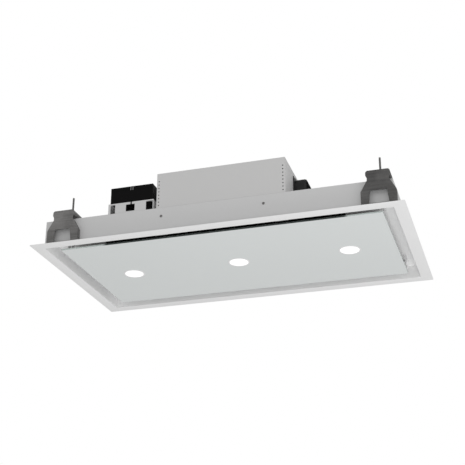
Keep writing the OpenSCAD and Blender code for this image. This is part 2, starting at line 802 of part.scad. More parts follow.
// The lower shell of the control box, with posts for the circuit board and a hole for the gland.
module control_box() {
    box_z1 = control_z1 - lid_h;
    step = control_wall / 2;
    color([0.08, 0.08, 0.08]) difference() {
        union() {
            difference() {
                block([control_x0, control_x1], [control_y0, control_y1], [control_z0, box_z1]);
                block([control_x0 + control_wall, control_x1 - control_wall],
                    [control_y0 + control_wall, control_y1 - control_wall], [control_z0 + control_wall, box_z1 + overrun]);
            }
            for (x = [control_x0 + control_wall + board_inset, control_x1 - control_wall - board_inset],
                    y = [control_y0 + control_wall + board_inset, control_y1 - control_wall - board_inset])
                translate([x, y, control_z0 + control_wall]) cylinder(r = post_r, h = board_rise);
            difference() {
                block([control_x0 + step, control_x1 - step], [control_y0 + step, control_y1 - step], [box_z1, box_z1 + lid_h / 2]);
                block([control_x0 + control_wall, control_x1 - control_wall],
                    [control_y0 + control_wall, control_y1 - control_wall], [box_z1 - overrun, box_z1 + lid_h]);
            }
        }
        translate([control_x0 - overrun, gland_y, gland_z]) rotate([0, 90, 0])
            cylinder(r = gland_r + fit, h = control_wall + 2 * overrun);
        translate([control_xc - clip_w / 4, control_y0 - overrun, control_z0 - overrun])
            cube([clip_w / 2, control_wall + 2 * overrun, lid_h / 2 + overrun]);
    }
}

// The lid, which laps over the box's rim and has a clip window at its front.
module control_lid() {
    lid_z0 = control_z1 - lid_h;
    step = control_wall / 2 + fit;
    color([0.09, 0.09, 0.09]) difference() {
        block([control_x0, control_x1], [control_y0, control_y1], [lid_z0 + fit, control_z1]);
        block([control_x0 + step - 2 * fit, control_x1 - step + 2 * fit],
            [control_y0 + step - 2 * fit, control_y1 - step + 2 * fit], [lid_z0 - overrun, control_z1 - control_wall]);
        for (side = [-1, 1])
            translate([control_xc + side * clip_w / 2 - fit, control_y0 - overrun, lid_z0 - overrun])
                cube([control_wall / 2, control_wall / 4 + overrun, lid_h + 2 * overrun]);
    }
}

// The circuit board on its posts.
module circuit_board() {
    side = control_wall + seat;
    color([0.1, 0.35, 0.2])
    block([control_x0 + side, control_x1 - side], [control_y0 + side, control_y1 - side], [board_z, board_z + board_t]);
}

// The terminal block near the gland, with a row of wire entries.
module terminal_block() {
    block_w = control_w / 5;
    block_d = control_d / 3;
    ways = 5;
    color([0.85, 0.85, 0.8]) difference() {
        translate([control_x0 + control_w * 0.3, gland_y - block_d / 2, board_z + board_t])
            cube([block_w, block_d, block_w * 0.6]);
        for (i = [0:ways - 1])
            translate([control_x0 + control_w * 0.3, gland_y - block_d / 2 + (i + 0.5) * block_d / ways,
                board_z + board_t + block_w * 0.25])
                cube([block_w, block_d / ways / 2, block_w / 4], center = true);
    }
}

// The motor's run capacitor, lying on the board.
module capacitor() {
    can_r = control_h / 5;
    color([0.8, 0.8, 0.82])
    translate([control_x1 - control_w * 0.25, control_y0 + control_d * 0.15, board_z + board_t + can_r]) rotate([-90, 0, 0]) {
        cylinder(r = can_r, h = control_d / 3);
        cylinder(r = can_r / 3, h = control_d / 3 + can_r);
    }
}

// The driver that feeds the spot lights.
module light_driver() {
    color([0.9, 0.9, 0.88])
    translate([control_x1 - control_w * 0.42, control_y1 - control_d * 0.38, board_z + board_t])
        cube([control_w * 0.32, control_d * 0.3, control_h / 3]);
}

// The cable gland in the control box's left side, with a bore for the supply cable.
module cable_gland() {
    color([0.12, 0.12, 0.12]) translate([control_x0, gland_y, gland_z]) rotate([0, 90, 0]) difference() {
        union() {
            translate([0, 0, -gland_hex_t]) cylinder(r = gland_hex_r, h = gland_hex_t, $fn = 6);
            translate([0, 0, -gland_hex_t - gland_dome]) cylinder(r1 = gland_r * 0.8, r2 = gland_r * 1.1, h = gland_dome);
            cylinder(r = gland_r, h = control_wall + gland_inside);
        }
        translate([0, 0, -gland_hex_t - gland_dome - overrun])
            cylinder(r = gland_bore_r, h = gland_hex_t + gland_dome + control_wall + gland_inside + 2 * overrun);
    }
}

// The gland's lock nut inside the box.
module gland_nut() {
    color([0.15, 0.15, 0.15]) translate([control_x0 + control_wall, gland_y, gland_z]) rotate([0, 90, 0])
        hex_nut(gland_hex_r, gland_nut_t, gland_r + fit);
}

// Repeats its child at the four rods.
module at_rods() {
    for (x = clamp_x, sy = [-1, 1]) translate([x, sy * rod_y, 0]) children();
}

// The threaded rods that stand on the plenum, drawn smooth.
module clamp_rods() {
    color([0.4, 0.39, 0.38]) at_rods() {
        translate([0, 0, shell_h]) cylinder(r = rod_r, h = rod_top - shell_h - rod_r / 2, $fn = 32);
        translate([0, 0, rod_top - rod_r / 2]) cylinder(r1 = rod_r, r2 = rod_r * 0.7, h = rod_r / 2, $fn = 32);
    }
}

// The nuts that hold the rods' feet.
module rod_nuts() {
    color([0.6, 0.6, 0.6]) at_rods() translate([0, 0, shell_h]) hex_nut(rod_nut_r, rod_nut_h, rod_r + fit);
}

// The outline of a clamp's front plate, centred on its rod, with its foot on the flange.
module clamp_outline() {
    half = clamp_w / 2;
    top = top_half_share * clamp_w;
    neck = neck_half_share * clamp_w;
    neck_z = neck_z_share * clamp_h;
    flare_z = flare_z_share * clamp_h;
    difference() {
        union() {
            polygon([
                [-half, 0], [half, 0], [half, flare_z], [neck, neck_z - shoulder_r / 2], [neck, neck_z + shoulder_r / 2],
                [top, neck_z + 1.5 * shoulder_r], [top, clamp_h - shoulder_r], [top - shoulder_r, clamp_h],
                [shoulder_r - top, clamp_h], [-top, clamp_h - shoulder_r], [-top, neck_z + 1.5 * shoulder_r],
                [-neck, neck_z + shoulder_r / 2], [-neck, neck_z - shoulder_r / 2], [-half, flare_z]]);
            for (side = [-1, 1])
                translate([side * (top - shoulder_r), clamp_h - shoulder_r]) circle(shoulder_r);
        }
        polygon([
            [-window_foot_half_share * clamp_w, foot_bar], [window_foot_half_share * clamp_w, foot_bar],
            [window_top_half_share * clamp_w, window_top_share * clamp_h],
            [-window_top_half_share * clamp_w, window_top_share * clamp_h]]);
    }
}

// The strip along a clamp's outer edge that is folded back to the plenum.
module clamp_edge_strip() {
    half = clamp_w / 2;
    neck = neck_half_share * clamp_w;
    neck_z = neck_z_share * clamp_h - shoulder_r / 2;
    flare_z = flare_z_share * clamp_h;
    lean = clamp_t * (half - neck) / (neck_z - flare_z);
    polygon([
        [half - clamp_t, 0], [half, 0], [half, flare_z], [neck + lean, neck_z - clamp_t],
        [neck - clamp_t, neck_z - clamp_t], [half - clamp_t, flare_z - clamp_t]]);
}

// The rounded top of a clamp's outline, or that outline moved inwards, down to z.
module clamp_top_outline(inside, z) {
    half = top_half_share * clamp_w - inside;
    r = shoulder_r - inside;
    translate([-half, z]) square([2 * half, clamp_h - shoulder_r - z]);
    translate([r - half, z]) square([2 * (half - r), clamp_h - inside - z]);
    for (side = [-1, 1]) translate([side * (half - r), clamp_h - shoulder_r]) circle(r);
}

// A ceiling clamp for the front side, its rod at the origin of X.
module clamp_body() {
    fold_y = -clamp_face - clamp_t + clamp_top_d;
    color([0.42, 0.41, 0.4]) translate([0, 0, clamp_z0]) difference() {
        union() {
            translate([0, -clamp_face, 0]) rotate([90, 0, 0]) linear_extrude(clamp_t) clamp_outline();
            for (side = [0, 1]) mirror([side, 0, 0])
                translate([0, -shell_d / 2 - seat, 0]) rotate([90, 0, 0])
                    linear_extrude(clamp_gap - seat + clamp_t / 2) clamp_edge_strip();
            translate([0, fold_y, 0]) rotate([90, 0, 0]) linear_extrude(clamp_top_d - clamp_t / 2) difference() {
                clamp_top_outline(0, clamp_h - clamp_edge_h);
                clamp_top_outline(clamp_t, clamp_h - clamp_edge_h - overrun);
            }
            translate([0, fold_y, 0]) rotate([90, 0, 0]) linear_extrude(clamp_t)
                clamp_top_outline(0, clamp_h - clamp_lip);
        }
        translate([0, -rod_y, clamp_h - clamp_t - overrun]) cylinder(r = rod_r + seat, h = clamp_t + 2 * overrun);
    }
}

// Draws a clamp or a nut at the right or the left, at the front or the back.
module clamp_place(side, back) {
    translate([clamp_x[side], 0, 0]) mirror([0, back, 0]) children();
}
module clamp_front_left() { clamp_place(0, 0) clamp_body(); }
module clamp_front_right() { clamp_place(1, 0) clamp_body(); }
module clamp_back_left() { clamp_place(0, 1) clamp_body(); }
module clamp_back_right() { clamp_place(1, 1) clamp_body(); }

// The flanged nut that presses a clamp down on its rod.
module clamp_nut() {
    color([0.62, 0.62, 0.62]) translate([0, -rod_y, clamp_z1]) difference() {
        union() {
            cylinder(r = nut_flange_r, h = nut_flange_h);
            cylinder(r = rod_nut_r, h = nut_flange_h + rod_nut_h, $fn = 6);
        }
        translate([0, 0, -overrun]) cylinder(r = rod_r + fit, h = nut_flange_h + rod_nut_h + 2 * overrun);
    }
}
module nut_front_left() { clamp_place(0, 0) clamp_nut(); }
module nut_front_right() { clamp_place(1, 0) clamp_nut(); }
module nut_back_left() { clamp_place(0, 1) clamp_nut(); }
module nut_back_right() { clamp_place(1, 1) clamp_nut(); }

// A filter frame with a ledge for the mesh, a pocket for the latch, and two tongues.
module filter_frame() {
    color([0.16, 0.16, 0.17]) difference() {
        union() {
            translate([0, 0, filter_z0]) linear_extrude(filter_h) difference() {
                square([filter_w, filter_d], center = true);
                square([filter_inner_w, filter_inner_d], center = true);
            }
            for (side = [-1, 1])
                translate([side * filter_w / 4 - tongue_w / 2, filter_d / 2 - overrun, ledge_z])
                    cube([tongue_w, tongue_reach + overrun, tongue_t]);
            translate([0, 0, filter_z0]) linear_extrude(mesh_z0 - filter_z0) difference() {
                square([filter_inner_w + overrun, filter_inner_d + overrun], center = true);
                square([filter_inner_w - 2 * ledge, filter_inner_d - 2 * ledge], center = true);
            }
        }
        block([-latch_w / 2 - seat, latch_w / 2 + seat], [latch_y0, latch_y0 + latch_slot + latch_travel + 2 * seat],
            [ledge_z - seat, ledge_z + latch_t + seat]);
        block([-latch_w / 4 - seat, latch_w / 4 + seat], [latch_y0 - latch_wall - overrun, latch_y0 + overrun],
            [ledge_z - seat, ledge_z + latch_t + seat]);
        block([-latch_w / 2 + latch_tab - seat, latch_w / 2 - latch_tab + seat],
            [latch_tab_y - seat, latch_tab_y + latch_tab + latch_travel + seat], [filter_z0 - overrun, ledge_z]);
    }
}

// A filter mesh: a sheet with rows of lozenge openings, standing on the frame's ledge.
module filter_mesh() {
    sheet_w = filter_inner_w - 2 * fit;
    sheet_d = filter_inner_d - 2 * fit;
    step_x = (sheet_w - 4 * mesh_strand) / (mesh_columns + 0.5);
    step_y = (sheet_d - 4 * mesh_strand) / mesh_rows;
    half_x = (step_x - mesh_strand) / 2;
    half_y = (step_y - mesh_strand) * 0.75;
    color([0.2, 0.2, 0.21]) translate([0, 0, mesh_z0]) linear_extrude(mesh_t) difference() {
        square([sheet_w, sheet_d], center = true);
        for (row = [0:mesh_rows - 1], column = [0:mesh_columns - 1])
            translate([(column - (mesh_columns - 1) / 2 + (row % 2 - 0.5) / 2) * step_x, (row - (mesh_rows - 1) / 2) * step_y])
                polygon([[-half_x, 0], [0, -half_y], [half_x, 0], [0, half_y]]);
    }
}

// A filter latch: a slide with a bolt over the opening's edge and a finger tab below.
module filter_latch() {
    color([0.55, 0.55, 0.56]) {
        block([-latch_w / 2, latch_w / 2], [latch_y0 + seat, latch_y0 + latch_slot], [ledge_z, ledge_z + latch_t]);
        block([-latch_w / 4, latch_w / 4], [latch_y0 - latch_wall - 1.5 * filter_gap - latch_reach + seat, latch_y0 + 2 * seat],
            [ledge_z, ledge_z + latch_t]);
        block([-latch_w / 2 + latch_tab, latch_w / 2 - latch_tab], [latch_tab_y, latch_tab_y + latch_tab],
            [filter_z0 - latch_tab, ledge_z + latch_t / 2]);
    }
}
module filter_frame_left() { translate([-filter_x, 0, 0]) filter_frame(); }
module filter_frame_right() { translate([filter_x, 0, 0]) filter_frame(); }
module filter_mesh_left() { translate([-filter_x, 0, 0]) filter_mesh(); }
module filter_mesh_right() { translate([filter_x, 0, 0]) filter_mesh(); }
module filter_latch_left() { translate([-filter_x, 0, 0]) filter_latch(); }
module filter_latch_right() { translate([filter_x, 0, 0]) filter_latch(); }

// The hinge brackets: a plate under the recess ceiling with a lip and two round-ended ears.
module hinge_brackets() {
    color([0.5, 0.5, 0.51]) for (side = [0, 1]) mirror([side, 0, 0]) difference() {
        union() {
            block([ear_x0 - hinge_base_side, ear_x1 + hinge_ear_t + 1.7 * hinge_base_side],
                [hinge_base_y, hinge_y + ear_r], [recess_h - hinge_base_t, recess_h]);
            block([ear_x0 - hinge_base_side, ear_x1 + hinge_ear_t + 1.7 * hinge_base_side],
                [hinge_base_y, hinge_base_y + hinge_base_t], [recess_h - hinge_lip, recess_h]);
            for (x = [ear_x0, ear_x1]) {
                block([x, x + hinge_ear_t], [hinge_y - ear_r, hinge_y + ear_r], [hinge_z, recess_h]);
                translate([x, hinge_y, hinge_z]) rotate([0, 90, 0]) cylinder(r = ear_r, h = hinge_ear_t);
            }
        }
        translate([ear_x0 - overrun, hinge_y, hinge_z]) rotate([0, 90, 0])
            cylinder(r = hinge_pin_r + fit, h = ear_x1 - ear_x0 + hinge_ear_t + 2 * overrun);
    }
}

// The hinge pins, with a head at each end.
module hinge_pins() {
    length = ear_x1 + hinge_ear_t - ear_x0;
    color([0.7, 0.7, 0.72]) for (side = [0, 1]) mirror([side, 0, 0])
        translate([ear_x0, hinge_y, hinge_z]) rotate([0, 90, 0]) {
            translate([0, 0, -pin_head_t]) cylinder(r = pin_head_r, h = pin_head_t);
            cylinder(r = hinge_pin_r, h = length);
            translate([0, 0, length]) cylinder(r = pin_head_r, h = pin_head_t);
        }
}

// The hinge arms: a foot on the glass beside the tray, and an eye between the ears.
module hinge_arms() {
    foot_y = hinge_y - arm_reach;
    color([0.6, 0.6, 0.62]) for (side = [0, 1]) mirror([side, 0, 0]) difference() {
        union() {
            block([tray_w / 2, arm_x1], [foot_y, foot_y + arm_foot_d], [glass_z1, glass_z1 + arm_foot_t]);
            block([arm_x0, arm_x1], [foot_y, hinge_y], [glass_z1, glass_z1 + arm_foot_t + 2 * hinge_arm_t]);
            translate([arm_x0, hinge_y, hinge_z]) rotate([0, 90, 0]) cylinder(r = eye_r, h = hinge_arm_t);
        }
        translate([arm_x0 - overrun, hinge_y, hinge_z]) rotate([0, 90, 0])
            cylinder(r = hinge_pin_r + fit, h = hinge_arm_t + 2 * overrun);
    }
}

// The catch clips under the recess ceiling: two sprung jaws on a base.
module catch_clips() {
    jaw = catch_r + seat;
    color([0.5, 0.5, 0.51]) for (side = [-1, 1]) translate([side * catch_x, catch_y, 0]) {
        block([-jaw - clip_t, jaw + clip_t], [-clip_d / 2, clip_d / 2], [recess_h - clip_t, recess_h]);
        for (way = [-1, 1])
            block([way * (jaw + clip_t / 2) - clip_t / 2, way * (jaw + clip_t / 2) + clip_t / 2],
                [-clip_d / 2, clip_d / 2], [recess_h - clip_drop, recess_h]);
    }
}

// The catch studs on the panel: a foot against the tray, a stem and a round head.
module catch_studs() {
    color([0.6, 0.6, 0.62]) for (side = [0, 1]) mirror([side, 0, 0]) {
        block([tray_w / 2, catch_x + catch_stem_r], [catch_y - clip_d / 2, catch_y + clip_d / 2],
            [glass_z1, glass_z1 + arm_foot_t]);
        translate([catch_x, catch_y, glass_z1]) cylinder(r = catch_stem_r, h = catch_z - glass_z1, $fn = 32);
        translate([catch_x, catch_y, catch_z]) sphere(catch_r, $fn = 48);
    }
}

// The glass pane with three holes for the spot lights.
module glass_panel() {
    color([0.79, 0.81, 0.8]) translate([0, 0, glass_z]) linear_extrude(glass_t) difference() {
        rounded(panel_w, panel_d, glass_corner);
        for (x = spots) translate([x, 0]) circle(spot_hole_r);
    }
}

// The folded steel tray on the back of the glass, with holes for the light modules.
module panel_tray() {
    color([0.85, 0.85, 0.85]) difference() {
        translate([0, 0, glass_z1]) linear_extrude(tray_h) square([tray_w, tray_d], center = true);
        translate([0, 0, glass_z1 + tray_t]) linear_extrude(tray_h)
            square([tray_w - 2 * tray_t, tray_d - 2 * tray_t], center = true);
        for (x = spots) translate([x, 0, glass_z1 - overrun]) cylinder(r = spot_hole_r, h = tray_t + 2 * overrun);
    }
}

// The rims round the spot lights, a thin collar in the glass with a proud edge.
module spot_rims() {
    color([0.88, 0.88, 0.88]) for (x = spots) translate([x, 0, 0]) rotate_extrude() {
        translate([spot_r, glass_z - spot_proud]) square([spot_rim, spot_proud]);
        translate([spot_r, glass_z - spot_proud])
            square([spot_rim / 2 - seat, glass_t + tray_t + spot_proud]);
    }
}

// The frosted lenses of the spot lights.
module spot_lenses() {
    color([0.98, 0.98, 0.96]) for (x = spots) translate([x, 0, glass_z - spot_proud / 2])
        cylinder(r = spot_r - fit, h = lens_t);
}

// The light modules: a body in the rim and a finned heat sink above it.
module spot_modules() {
    body_z = glass_z - spot_proud / 2 + lens_t;
    color([0.3, 0.3, 0.32]) for (x = spots) translate([x, 0, 0]) {
        translate([0, 0, body_z]) cylinder(r = module_r - fit, h = glass_z1 + tray_t + fin_t / 2 - body_z);
        translate([0, 0, glass_z1 + tray_t]) cylinder(r = spot_hole_r + spot_rim, h = fin_t);
        translate([0, 0, glass_z1 + tray_t + fin_t / 2]) difference() {
            cylinder(r = module_r, h = module_h);
            for (i = [-4:4])
                translate([i * (fin_t + fin_gap) - fin_gap / 2, -module_r - overrun, module_h / 3])
                    cube([fin_gap, 2 * (module_r + overrun), module_h]);
        }
    }
}

flange_frame();
recess_tray();
plenum_shell();
plenum_braces();
plenum_screws();
motor_box();
box_screws();
duct_collar();
collar_screws();
backdraft_flap();
inlet_ring();
scroll_housing();
scroll_cover();
motor_body();
motor_bearings();
motor_bushes();
motor_screws();
impeller();
motor_shaft();
impeller_nut();
control_stand();
stand_screws();
control_box();
control_lid();
circuit_board();
terminal_block();
capacitor();
light_driver();
cable_gland();
gland_nut();
clamp_rods();
rod_nuts();
clamp_front_left();
clamp_front_right();
clamp_back_left();
clamp_back_right();
nut_front_left();
nut_front_right();
nut_back_left();
nut_back_right();
filter_frame_left();
filter_frame_right();
filter_mesh_left();
filter_mesh_right();
filter_latch_left();
filter_latch_right();
hinge_brackets();
hinge_pins();
hinge_arms();
catch_clips();
catch_studs();
glass_panel();
panel_tray();
spot_rims();
spot_lenses();
spot_modules();
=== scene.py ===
"""Looks of a ceiling range hood with perimeter suction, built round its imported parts.

Lengths are in metres in the part's own frame: z = 0 is the back of the flange, -Y is the
front, and +X is the end with the duct collar. Helpers that take millimetres say so.
"""
import json
import bmesh
import bpy
import numpy as np
from mathutils import Matrix, Vector


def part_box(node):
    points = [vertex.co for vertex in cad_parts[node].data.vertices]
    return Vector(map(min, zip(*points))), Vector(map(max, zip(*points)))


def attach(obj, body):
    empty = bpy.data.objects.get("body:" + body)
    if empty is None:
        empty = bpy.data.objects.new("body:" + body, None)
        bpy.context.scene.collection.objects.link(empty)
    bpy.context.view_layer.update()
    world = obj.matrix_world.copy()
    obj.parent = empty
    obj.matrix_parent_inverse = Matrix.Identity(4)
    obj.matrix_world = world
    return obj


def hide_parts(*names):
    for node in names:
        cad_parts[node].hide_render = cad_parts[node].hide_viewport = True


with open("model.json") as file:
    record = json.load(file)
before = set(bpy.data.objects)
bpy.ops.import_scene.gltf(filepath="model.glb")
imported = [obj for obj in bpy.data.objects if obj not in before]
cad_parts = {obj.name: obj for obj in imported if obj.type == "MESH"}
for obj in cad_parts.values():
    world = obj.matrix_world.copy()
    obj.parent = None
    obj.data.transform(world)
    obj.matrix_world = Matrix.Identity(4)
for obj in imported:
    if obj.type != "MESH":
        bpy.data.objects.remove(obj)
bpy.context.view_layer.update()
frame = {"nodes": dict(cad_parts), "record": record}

MM = 0.001
TURN = 2 * np.pi
BODIES = frame["record"]["behaviour"]["bodies"]
BODY = {node: body for body, nodes in BODIES.items() for node in nodes}
SLOTS = {part["node"]: part["material_slot"] for part in frame["record"]["subparts"]}


# ---------------------------------------------------------------- camera

EYE = Vector((0.694843, -2.314562, -0.973828))
YAW, PITCH, ROLL = 0.298532, 0.412063, 0.004828
SENSOR = 36.0
FOCAL_SHARE = 2.247013  # focal length over the picture's width


def look_matrix(eye, yaw, pitch, roll):
    """The camera's place: yaw turns it left from +Y, pitch lifts it, roll turns the picture."""
    right = Vector((np.cos(yaw), np.sin(yaw), 0))
    ahead = Vector((-np.sin(yaw) * np.cos(pitch), np.cos(yaw) * np.cos(pitch), np.sin(pitch)))
    up = right.cross(ahead)
    side = right * np.cos(roll) + up * np.sin(roll)
    top = up * np.cos(roll) - right * np.sin(roll)
    turned = Matrix((side, top, -ahead)).transposed()
    return Matrix.Translation(eye) @ turned.to_4x4()


lens = bpy.data.cameras.new("view")
lens.sensor_width = SENSOR
lens.lens = SENSOR * FOCAL_SHARE
camera = bpy.data.objects.new("view", lens)
camera.matrix_world = look_matrix(EYE, YAW, PITCH, ROLL)
bpy.context.scene.collection.objects.link(camera)
bpy.context.scene.camera = camera
bpy.context.scene.view_settings.view_transform = "Standard"


# ---------------------------------------------------------------- shader graphs


class Value:
    """A number that varies over a surface: arithmetic on it, from either side, adds Math nodes."""

    def __init__(self, finish, socket):
        self.finish, self.socket = finish, socket

    def math(self, operation, *values):
        """What a Math node of that kind makes of the values."""
        return self.finish.node("ShaderNodeMath", {"operation": operation}, dict(enumerate(values)))

    def __add__(self, other):
        return self.math("ADD", self, other)

    def __sub__(self, other):
        return self.math("SUBTRACT", self, other)

    def __rsub__(self, other):
        return self.math("SUBTRACT", other, self)

    def __mul__(self, other):
        return self.math("MULTIPLY", self, other)

    def __abs__(self):
        return self.math("ABSOLUTE", self)

    def max(self, other):
        """The greater of the two."""
        return self.math("MAXIMUM", self, other)

    def wave(self):
        """Its sine, as an angle in radians."""
        return self.math("SINE", self)

    def clip(self, low, high):
        """0 up to low, 1 from high, and a straight ramp between them."""
        return self.finish.node(
            "ShaderNodeMapRange", {"clamp": True}, {"Value": self, "From Min": low, "From Max": high}
        )

    __radd__, __rmul__ = __add__, __mul__


class Finish:
    """A material in the making, on Object coordinates."""

    def __init__(self, name):
        self.material = bpy.data.materials.new(name)
        self.material.use_nodes = True
        self.tree = self.material.node_tree
        self.tree.nodes.clear()
        self.place = self.node("ShaderNodeTexCoord", output="Object")

    def node(self, kind, settings=None, values=None, output=0):
        """Adds a node of that kind, sets it up, and fills its sockets with numbers or links."""
        made = self.tree.nodes.new(kind)
        for key, setting in (settings or {}).items():
            setattr(made, key, setting)
        for key, value in (values or {}).items():
            if isinstance(value, Value):
                self.tree.links.new(value.socket, made.inputs[key])
            else:
                made.inputs[key].default_value = value
        return Value(self, made.outputs[output]) if len(made.outputs) else None

    def axes(self):
        """The three Object coordinates, in metres."""
        split = self.node("ShaderNodeSeparateXYZ", values={"Vector": self.place})
        outputs = split.socket.node.outputs
        return [Value(self, outputs[axis]) for axis in range(3)]

    def noise(self, scale, detail=2.0, roughness=0.5, grain=None):
        """Noise round 0.5 with that many features a metre. A grain's three factors scale the
        coordinates first, so that the features are drawn out across its larger factor."""
        place = self.place
        if grain:
            place = self.node("ShaderNodeMapping", values={"Vector": place, "Scale": grain})
        return self.node(
            "ShaderNodeTexNoise",
            values={"Vector": place, "Scale": scale, "Detail": detail, "Roughness": roughness},
        )

    def cells(self, scale):
        """The distance to the nearest of the cell centres, that many a metre."""
        values = {"Vector": self.place, "Scale": scale}
        return self.node("ShaderNodeTexVoronoi", values=values, output="Distance")

    def blend(self, share, first, second):
        """A colour that goes from first to second as share goes from 0 to 1."""
        return self.node(
            "ShaderNodeMix",
            {"data_type": "RGBA"},
            {"Factor": share, 6: (*first, 1) if isinstance(first, tuple) else first,
             7: (*second, 1) if isinstance(second, tuple) else second},
            output=2,
        )

    def relief(self, height, depth):
        """A Bump node: height from 0 to 1 stands for that depth in metres."""
        values = {"Height": height, "Distance": depth, "Strength": 1.0}
        return self.node("ShaderNodeBump", values=values)

    def done(self, **values):
        """Closes the graph with a Principled shader; underscores in names stand for spaces."""
        named = {key.replace("_", " "): value for key, value in values.items()}
        for key, value in named.items():
            if isinstance(value, tuple) and len(value) == 3:
                named[key] = (*value, 1)
        shader = self.node("ShaderNodeBsdfPrincipled", values=named)
        self.node("ShaderNodeOutputMaterial", values={"Surface": shader})
        return self.material


# Features a metre, and depths, of the textures that the finishes share
DRIFT, SPECKS, PEEL = 7.0, 900.0, 700.0
PEEL_DEPTH = 0.04 * MM
SHEET_GRAIN, THREAD_GRAIN, ROLLER_GRAIN = (1.0, 1.0, 12.0), (1.0, 1.0, 3.0), (1.0, 1.0, 22.0)
PAINT_ROUGH = 0.42
# Painted shade inside a box: how dark the sheet is painted there, and over what width the outer paint
# gives way to it
INSIDE_SHADE_LEVEL, INSIDE_SHADE_EDGE = 0.09, 0.2 * MM


def grey(level, warm=0.0):
    """A grey, linear, with a little more red and less blue when warm."""
    return (level * (1 + warm), level, level * (1 - warm))


def powder_coat(name, level, warm=0.0, rough=PAINT_ROUGH, shaded_inside=None):
    """Baked powder paint: an orange-peel skin with a very slight drift of tone. Inside the box of
    lowest and highest corners that may be given, the sheet is painted near black: painted shade that
    darkens the holes through it."""
    finish = Finish(name)
    drift = finish.noise(DRIFT, 3.0)
    speck = finish.noise(SPECKS, 1.0)
    tone = finish.blend(drift * 0.7 + speck * 0.3, grey(level * 0.975, warm), grey(level * 1.025, warm))
    if shaded_inside is not None:
        outside = 0.0
        for along, low, high in zip(finish.axes(), *shaded_inside):
            outside = (abs(along - (low + high) / 2) - (high - low) / 2).max(outside)
        # painted shade: near black inside the box, so that holes through the sheet look dark
        tone = finish.blend(outside.clip(0.0, INSIDE_SHADE_EDGE), grey(INSIDE_SHADE_LEVEL), tone)
    peel = finish.relief(finish.noise(PEEL), PEEL_DEPTH)
    return finish.done(Base_Color=tone, Roughness=drift * 0.1 + rough, Normal=peel)


def recess_coat_with_painted_light(name, ceiling, walls, turn_z):
    """White powder paint with painted light: paler than the flange's, standing for light that the deep
    recess doesn't get, and less pale on the walls below that height, as painted shade.
    """
    finish = Finish(name)
    height = finish.axes()[2]
    drift = finish.noise(DRIFT, 3.0)
    # painted shade: the walls below the turn take the darker tone and the ceiling the paler one
    thick = height.clip(turn_z - 2 * MM, turn_z)
    even = finish.blend(thick, grey(walls), grey(ceiling))
    tone = finish.blend(drift * 0.12, even, grey(walls * 0.9))
    peel = finish.relief(finish.noise(PEEL), PEEL_DEPTH)
    return finish.done(Base_Color=tone, Roughness=drift * 0.1 + PAINT_ROUGH, Normal=peel)


def rolled_zinc(name, level, warm=0.0, grain=SHEET_GRAIN, metallic=0.85, rough=0.4):
    """Galvanised or bright sheet: crystal flakes under fine rolling lines."""
    finish = Finish(name)
    flake = finish.cells(160.0)
    lines = finish.noise(420.0, 3.0, 0.6, grain)
    cloud = finish.noise(18.0, 4.0)
    share = flake * 0.35 + lines * 0.35 + cloud * 0.3
    tone = finish.blend(share, grey(level * 0.82, warm), grey(level * 1.12, warm))
    return finish.done(
        Base_Color=tone, Metallic=metallic, Roughness=lines * 0.14 + cloud * 0.1 + (rough - 0.1),
        Normal=finish.relief(lines, 0.03 * MM),
    )


def dull_clamp_zinc(name, level):
    """Unwiped zinc plate: streaks left by the rollers, and paler patches where it was handled."""
    finish = Finish(name)
    streak = finish.noise(9.0, 5.0, 0.65, ROLLER_GRAIN)
    patch = finish.noise(22.0, 2.0).clip(0.42, 0.72)
    fleck = finish.cells(420.0)
    share = streak.clip(0.25, 0.75) * 0.5 + patch * 0.3 + fleck * 0.2
    tone = finish.blend(share, grey(level * 0.45, 0.02), grey(level * 1.7, 0.02))
    return finish.done(
        Base_Color=tone, Metallic=0.5, Roughness=streak * 0.2 + fleck * 0.1 + 0.38,
        Normal=finish.relief(streak, 0.06 * MM),
    )


def moulded(name, level, warm=0.0, rough=0.5, depth=0.05 * MM, shine=0.5):
    """Injection-moulded plastic with a fine spark-eroded texture of that depth."""
    finish = Finish(name)
    pits = finish.cells(1500.0)
    cloud = finish.noise(25.0, 3.0)
    tone = finish.blend(cloud * 0.6 + pits * 0.4, grey(level * 0.85, warm), grey(level * 1.15, warm))
    return finish.done(
        Base_Color=tone, Roughness=pits * 0.12 + cloud * 0.08 + (rough - 0.1),
        Normal=finish.relief(pits, depth), Specular_IOR_Level=shine,
    )


def cast_metal(name, level, rough=0.5):
    """Sand-dull cast aluminium."""
    finish = Finish(name)
    grains = finish.noise(650.0, 3.0, 0.65)
    cloud = finish.noise(30.0, 2.0)
    tone = finish.blend(grains * 0.5 + cloud * 0.5, grey(level * 0.85), grey(level * 1.1))
    return finish.done(
        Base_Color=tone, Metallic=0.8, Roughness=grains * 0.2 + (rough - 0.1),
        Normal=finish.relief(grains, 0.08 * MM),
    )


def painted_glass(name, half_w, half_d, painted_shade_x, painted_shade_half, rim=0.9 * MM):
    """Tempered glass, painted pale on its back: a touch greener along its ground edge, glossy on its
    face, where the paint shows very faint clouds. Along the front edge, as far as the given half width
    from the given x, the colour is painted near black: painted shade for the dark filters seen through
    the clear edge, which the opaque surface can't show."""
    finish = Finish(name)
    x, y = finish.axes()[:2]
    edge = (abs(x) - half_w).max(abs(y) - half_d).clip(-rim, -0.1 * rim)
    cloud = finish.noise(3.0, 2.0)
    face = finish.blend(cloud, (0.700, 0.728, 0.722), (0.718, 0.746, 0.741))
    tone = finish.blend(edge, face, (0.60, 0.66, 0.64))
    # painted shade: a near-black band on the front edge where the dark filters lie behind it
    front_edge_shade = (y * -1.0 - half_d).clip(-rim, -0.1 * rim)
    beside = abs(x - painted_shade_x).clip(painted_shade_half - 10 * MM, painted_shade_half)
    tone = finish.blend(front_edge_shade * (1.0 - beside), tone, (0.04, 0.05, 0.048))
    ripple = finish.relief(finish.noise(12.0, 1.0), 0.02 * MM)
    return finish.done(
        Base_Color=tone, Roughness=cloud * 0.04 + 0.16, IOR=1.52, Normal=ripple,
        Coat_Weight=0.3, Coat_Roughness=0.03,
    )


